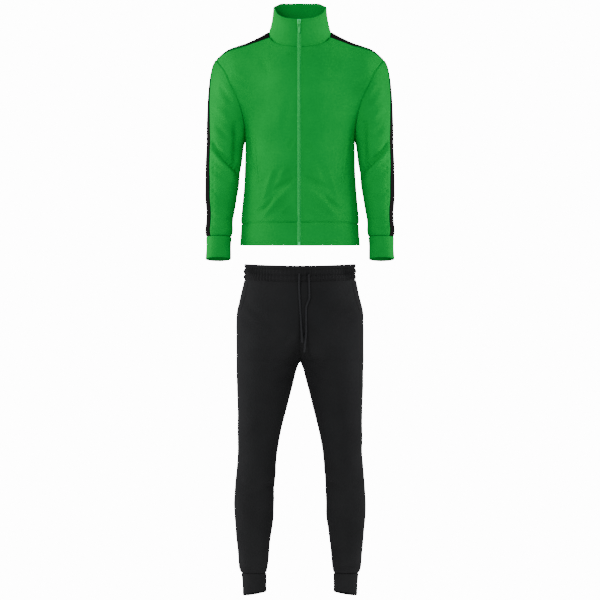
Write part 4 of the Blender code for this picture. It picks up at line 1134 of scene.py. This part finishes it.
LEG_FRONT_CREASES = [
    (178, -800, 150, -838, 104, -868, 1.5, 12),
    (186, -850, 150, -890, 96, -918, 1.3, 12),
    (26, -900, 50, -944, 96, -972, 1.5, 11),
    (14, -960, 46, -990, 92, -1000, -1.6, 10),
    (10, -1000, 44, -1022, 90, -1040, 1.6, 9),
    (30, -1040, 60, -1070, 104, -1078, 1.2, 10),
    (66, -1340, 92, -1366, 128, -1388, -2.2, 10),
    (78, -1376, 104, -1404, 140, -1420, 1.9, 10),
    (84, -1430, 110, -1452, 150, -1462, -2.0, 10),
    (84, -1470, 116, -1498, 150, -1512, 1.8, 9),
    (196, -1360, 176, -1392, 140, -1412, 1.5, 10),
    (200, -1440, 178, -1470, 146, -1486, -1.5, 10),
    (192, -1540, 164, -1562, 124, -1566, 1.6, 9),
    (102, -1580, 130, -1606, 168, -1612, 1.4, 8),
    (186, -1620, 160, -1640, 118, -1644, -1.6, 8),
    (108, -1650, 140, -1662, 182, -1656, 1.5, 6),
]
LEG_BACK_CREASES = [
    (176, -820, 140, -862, 90, -884, 1.6, 12),
    (20, -930, 60, -972, 130, -990, 2.2, 12),
    (24, -980, 70, -1012, 140, -1024, -2.0, 11),
    (50, -1040, 90, -1064, 140, -1062, 1.6, 10),
    (74, -1330, 110, -1356, 176, -1350, 2.4, 11),
    (78, -1372, 116, -1400, 184, -1392, -2.2, 11),
    (84, -1416, 124, -1444, 190, -1432, 2.2, 10),
    (96, -1540, 140, -1566, 188, -1556, 1.8, 10),
    (104, -1610, 140, -1632, 184, -1622, -1.7, 9),
    (108, -1654, 142, -1664, 180, -1658, 1.5, 6),
]


def leg_rows(heights, side):
    """Rows of a trouser panel, from the middle seam or the inseam to the side seam."""
    rows = []
    for height in heights:
        above = height >= CROTCH
        depth = float(read(HIPS if above else LEG, side, height))
        if above:
            half_width = float(read(HIPS, "half_width", height))
            parted = float(read(HIPS, "parted", height))
            centre = parted * half_width / 2
            radius = half_width - centre
            start = -math.asin(min(1.0, centre / radius))
            power = 2 / (2.0 + 0.35 * (1 - parted))
        else:
            centre = float(read(LEG, "centre", height))
            radius = float(read(LEG, "half_width", height))
            start = -math.pi / 2
            power = 1.0
        angle = between(start, math.pi / 2, 7)
        turn = np.sin(angle)
        x = centre + radius * np.sign(turn) * np.abs(turn) ** power
        x[0] = max(x[0], 0.0) if above else x[0]
        y = depth * np.abs(np.cos(angle)) ** power
        y[-1] = 0.0
        if side == "front":
            y = -y
        z = height + 0 * x
        if height >= WAIST_SEAM:
            z = z - WAIST_DIP * (1 - (x / WAIST_HALF).clip(0, 1) ** 2)
        rows.append(np.stack([x, y, z], axis=-1))
    return np.array(rows)


def trouser_heights():
    """Heights of the rows from the ankle seam to the waist seam."""
    return np.concatenate([[ANKLE_SEAM, -1668.0, -1651.0], between(-1651, -1046, 12)[1:],
                           [-1027.0, CROTCH, -1004.0, -990.0, -965.0, -930.0],
                           between(-930, WAIST_SEAM, 5)[1:]])


black_knit = knit("black_joggers_tricot", "#161617", "#2b2b2c", 0.75, 0.05, "#909094")
leg_lines = places(6, len(trouser_heights()) - 1)
# The right leg's creases are the left's, mirrored and moved a little, so that the legs are not quite alike
RIGHT_LEG_TURN = np.array([-1, 1, -1, 1, -1, 1, 1, 1])
RIGHT_LEG_SHIFT = np.array([5, -6, 0, -9, 0, -3, 0, 0])
crotch_row = int(np.argmin(abs(trouser_heights() - CROTCH)))
for face, facing, marks in (("front", -1, LEG_FRONT_CREASES), ("back", 1, LEG_BACK_CREASES)):
    coarse = leg_rows(trouser_heights(), face)
    grid = fine_grid(coarse, leg_lines, places(10, 7), (crotch_row, 0, 1.5))
    grid[..., 0] = grid[..., 0].clip(0.0)
    if face == "back":
        grid = grid[:, ::-1]
    # Above the crotch the panels are held to the middle seam and overlap there by about 1 mm
    for side in ("left", "right"):
        sign = 1 if side == "left" else -1
        own = grid if side == "left" else mirrored(grid)
        own_normals = grid_normals(own)
        moved = np.array(marks) if side == "left" else np.array(marks) * RIGHT_LEG_TURN + RIGHT_LEG_SHIFT
        lift = (creases(own, own_normals, moved, facing) + 0.7 * ripple(own, 85.0, 21)
                + seams(own, [("low", 1.2, 0), ("high", 1.0, 0), ("start", 1.1, 0), ("end", 1.1, 0)]))
        moves = own_normals * lift[..., None]
        held = np.clip((abs(own[..., 0]) - 1) / 25, 0, 1)
        over = moves[..., 0] * held - sign * np.exp(-abs(own[..., 0]) / 4)
        moves[..., 0] = np.where(own[..., 2] > CROTCH - 3, over, moves[..., 0])
        shaped = own + moves
        cloth(f"trouser_{face}_{side}", f"trouser_{face}_{side}", shaped, black_knit)
        if face == "front":
            fronts[side] = shaped

# Side pockets of the trousers: each mouth is cut in the front panel beside the side seam, turned in and
# stitched twice.
trouser_stitches = []
for side, sign in (("left", 1), ("right", -1)):
    line = [(sign * (167 + 20 * share**1.4), -764 - 86 * share) for share in between(1, 0, 30)]
    offsets = (-3.5, -3.0, -1.5, 0, 1.5, 3.0, 3.5)
    lifts = np.array([-0.4, 0.4, 0.8, 1.0, 1.4, 1.5, 0.2])
    strip = laid_on(fronts[side], line, offsets, lifts if sign > 0 else lifts[::-1])
    cloth(f"trouser_pocket_{side}", f"trouser_pocket_edge_{side}", strip, black_knit,
          WELT)
    normals = grid_normals(strip)
    near, far = ("start", "end") if sign > 0 else ("end", "start")
    trouser_stitches += [beside(strip, normals, near, 1.6), beside(strip, normals, far, 1.6)]

# Waistband: the tricot is doubled over a wide elastic and stitched through it in rows, so it gathers in
# close upright folds.
WAISTBAND = table(
    "height swell gather",
    (-755.1, 0.0, 0.5),
    (-746.5, 2.8, 1.3),
    (-738, 0.6, 1.1),
    (-728, 3.0, 1.7),
    (-718.5, 0.2, 0.9),
    (-712, 2.0, 0.5),
    (-705.5, 0.4, 0.25),
)
GATHERS = 88
GROOVES = ((-718.5, 1.0, 2.0), (-738.0, 0.8, 1.8))
columns = 7 * GATHERS
around = 2 * math.pi * np.arange(columns + 1) / columns
turn, facing = np.sin(around), np.cos(around)
rows = []
for height in between(-756.8, -705.5, 25):
    gather = float(read(WAISTBAND, "gather", height))
    phase = GATHERS * around + 0.7 * np.sin(5 * around + height / 30) + 0.5 * np.sin(13 * around + 1)
    depth_of = 0.75 + 0.35 * np.sin(7 * around + height / 17)
    groove = sum(deep * math.exp(-((height - middle) / wide) ** 2) for middle, deep, wide in GROOVES)
    swell = float(read(WAISTBAND, "swell", height)) - 1.3 * groove
    swell = swell + 1.5 * gather * depth_of * (np.cos(phase) ** 3 * 0.4 + np.cos(phase) * 0.5)
    depth = np.where(facing > 0, 111.0, 112.0) + swell
    x = (WAIST_HALF + swell) * np.sign(turn) * np.abs(turn) ** (2 / 2.35)
    y = -depth * np.sign(facing) * np.abs(facing) ** (2 / 2.35)
    rows.append(np.stack([x, y, height - WAIST_DIP * (1 - (x / WAIST_HALF).clip(-1, 1) ** 2)], axis=-1))
grid = np.array(rows)
cloth("waistband", "waistband", grid, black_knit, 1.6, ring=True)
normals = grid_normals(grid)
trouser_stitches += [beside(grid, normals, "high", far) for far in (13.0, 32.5)]
trouser_stitches.append(beside(grid, normals, "low", 2.0))
sew("trouser_stitching", trouser_stitches, black_thread)

# Ankle cuffs: doubled bands of the black tricot, whose open ends tilt up towards the inside of the leg.
rows = []
for height in between(ANKLE_EDGE, ANKLE_SEAM, 2):
    front = leg_rows([height], "front")[0]
    back = leg_rows([height], "back")[0][::-1]
    loop = np.concatenate([front, back[1:-1]])
    low = (ANKLE_SEAM - height) / (ANKLE_SEAM - ANKLE_EDGE)
    loop[:, 2] += low * (-6.0 * (loop[:, 0] - 142.8) / 37.5 - 6.5 * loop[:, 1] / 37.0)
    rows.append(loop)
grid = fine_grid(np.array(rows), places(10, 2), places(6, 14), ring=True)
shaped = raised(grid, grid_normals(grid, ring=True), 0.5 * ripple(grid, 40.0, 14),
                [("high", 1.2, 0), ("low", 0.6, 0)])
for side, wall in (("left", shaped), ("right", mirrored(shaped))):
    cloth(f"ankle_cuff_{side}", f"ankle_cuff_{side}", wall, black_knit, DOUBLED,
          ring=True)

# Drawcord: the two free ends of a braided polyester cord, which hang from the front of the waistband.
CORD_RADIUS = 3.1
CORD_LEFT = table(
    "order x y z",
    (0, 26.8, -117.0, -739),
    (1, 28.5, -118.9, -775),
    (2, 29.0, -122.4, -809),
    (3, 18.5, -123.0, -846),
    (4, 18.6, -122.6, -880),
    (5, 19.0, -121.5, -914),
    (6, 13.5, -119.5, -982),
)
CORD_RIGHT = table(
    "order x y z",
    (0, -2.2, -119.8, -736),
    (1, -2.8, -120.6, -775),
    (2, -0.8, -122.4, -819),
    (3, 3.2, -122.4, -888),
    (4, 7.4, -120.0, -953),
)
for name, x, y, z in (("buttonhole_left", 26.8, -113.6, -740.5), ("buttonhole_right", -2.2, -115.6, -738.5)):
    vertices, faces = [], []
    for i in range(36):
        a = 2 * math.pi * i / 36
        here = i * 8
        ahead = (i + 1) % 36 * 8
        for j in range(8):
            b = 2 * math.pi * j / 8
            thick = 0.95 + 0.12 * math.cos(18 * a)
            reach = 1 + thick * math.cos(b) / 5.0
            vertices.append((x + 4.4 * reach * math.cos(a), y - thick * math.sin(b),
                             z + 5.4 * reach * math.sin(a)))
            faces.append((here + j, ahead + j, ahead + (j + 1) % 8, here + (j + 1) % 8))
    suit_piece(name, vertices, faces, black_thread)
cord_knit = knit("black_braid", "#1a1a1c", "#363638", 0.7, 0.1, "#909094", wale=2.2)


def braid(name, route):
    """One free end of the cord, as a tube with the ridges of its braid."""
    fine = np.linspace(route["order"][0], route["order"][-1], 400)
    curve = np.stack([read(route, axis, fine) for axis in "xyz"], axis=-1)
    run = lengths(curve)
    steps = np.linspace(0, run[-1], int(run[-1]) + 1)
    line = points_at(curve, run, steps)
    along = np.gradient(line, axis=0)
    along /= np.linalg.norm(along, axis=1, keepdims=True)
    side = np.cross(along, [0.0, -1.0, 0.0])
    side /= np.linalg.norm(side, axis=1, keepdims=True)
    front = np.cross(side, along)
    count = 24
    turns = 2 * math.pi * np.arange(count) / count
    a = np.cos(4 * turns[None] + 2 * math.pi * steps[:, None] / 9)
    b = np.cos(4 * turns[None] - 2 * math.pi * steps[:, None] / 9)
    radius = CORD_RADIUS - 0.25 + 0.25 * np.maximum(a, b)
    tip = np.sqrt(np.clip(1 - ((np.arange(len(steps)) - len(steps) + 4) / 3.2).clip(0, 1) ** 2, 0.03, 1))
    radius = radius * tip[:, None]
    tube = (line[:, None] + radius[..., None] * (np.cos(turns)[None, :, None] * side[:, None]
                                                  + np.sin(turns)[None, :, None] * front[:, None]))
    faces, spots = [], []
    for i in range(len(steps) - 1):
        here, ahead = i * count, (i + 1) * count
        for k in range(count):
            n = (k + 1) % count
            faces.append([here + k, here + n, ahead + n, ahead + k])
            spots += [(0.8 * k, steps[i]), (0.8 * k + 0.8, steps[i]), (0.8 * k + 0.8, steps[i + 1]),
                      (0.8 * k, steps[i + 1])]
    faces += [list(range(count))[::-1], [(len(steps) - 1) * count + k for k in range(count)]]
    spots += [(0, 0)] * (2 * count)
    made = suit_piece(name, tube, faces, cord_knit, name, ("round_and_along", spots))


braid("drawcord_left", CORD_LEFT)
braid("drawcord_right", CORD_RIGHT)
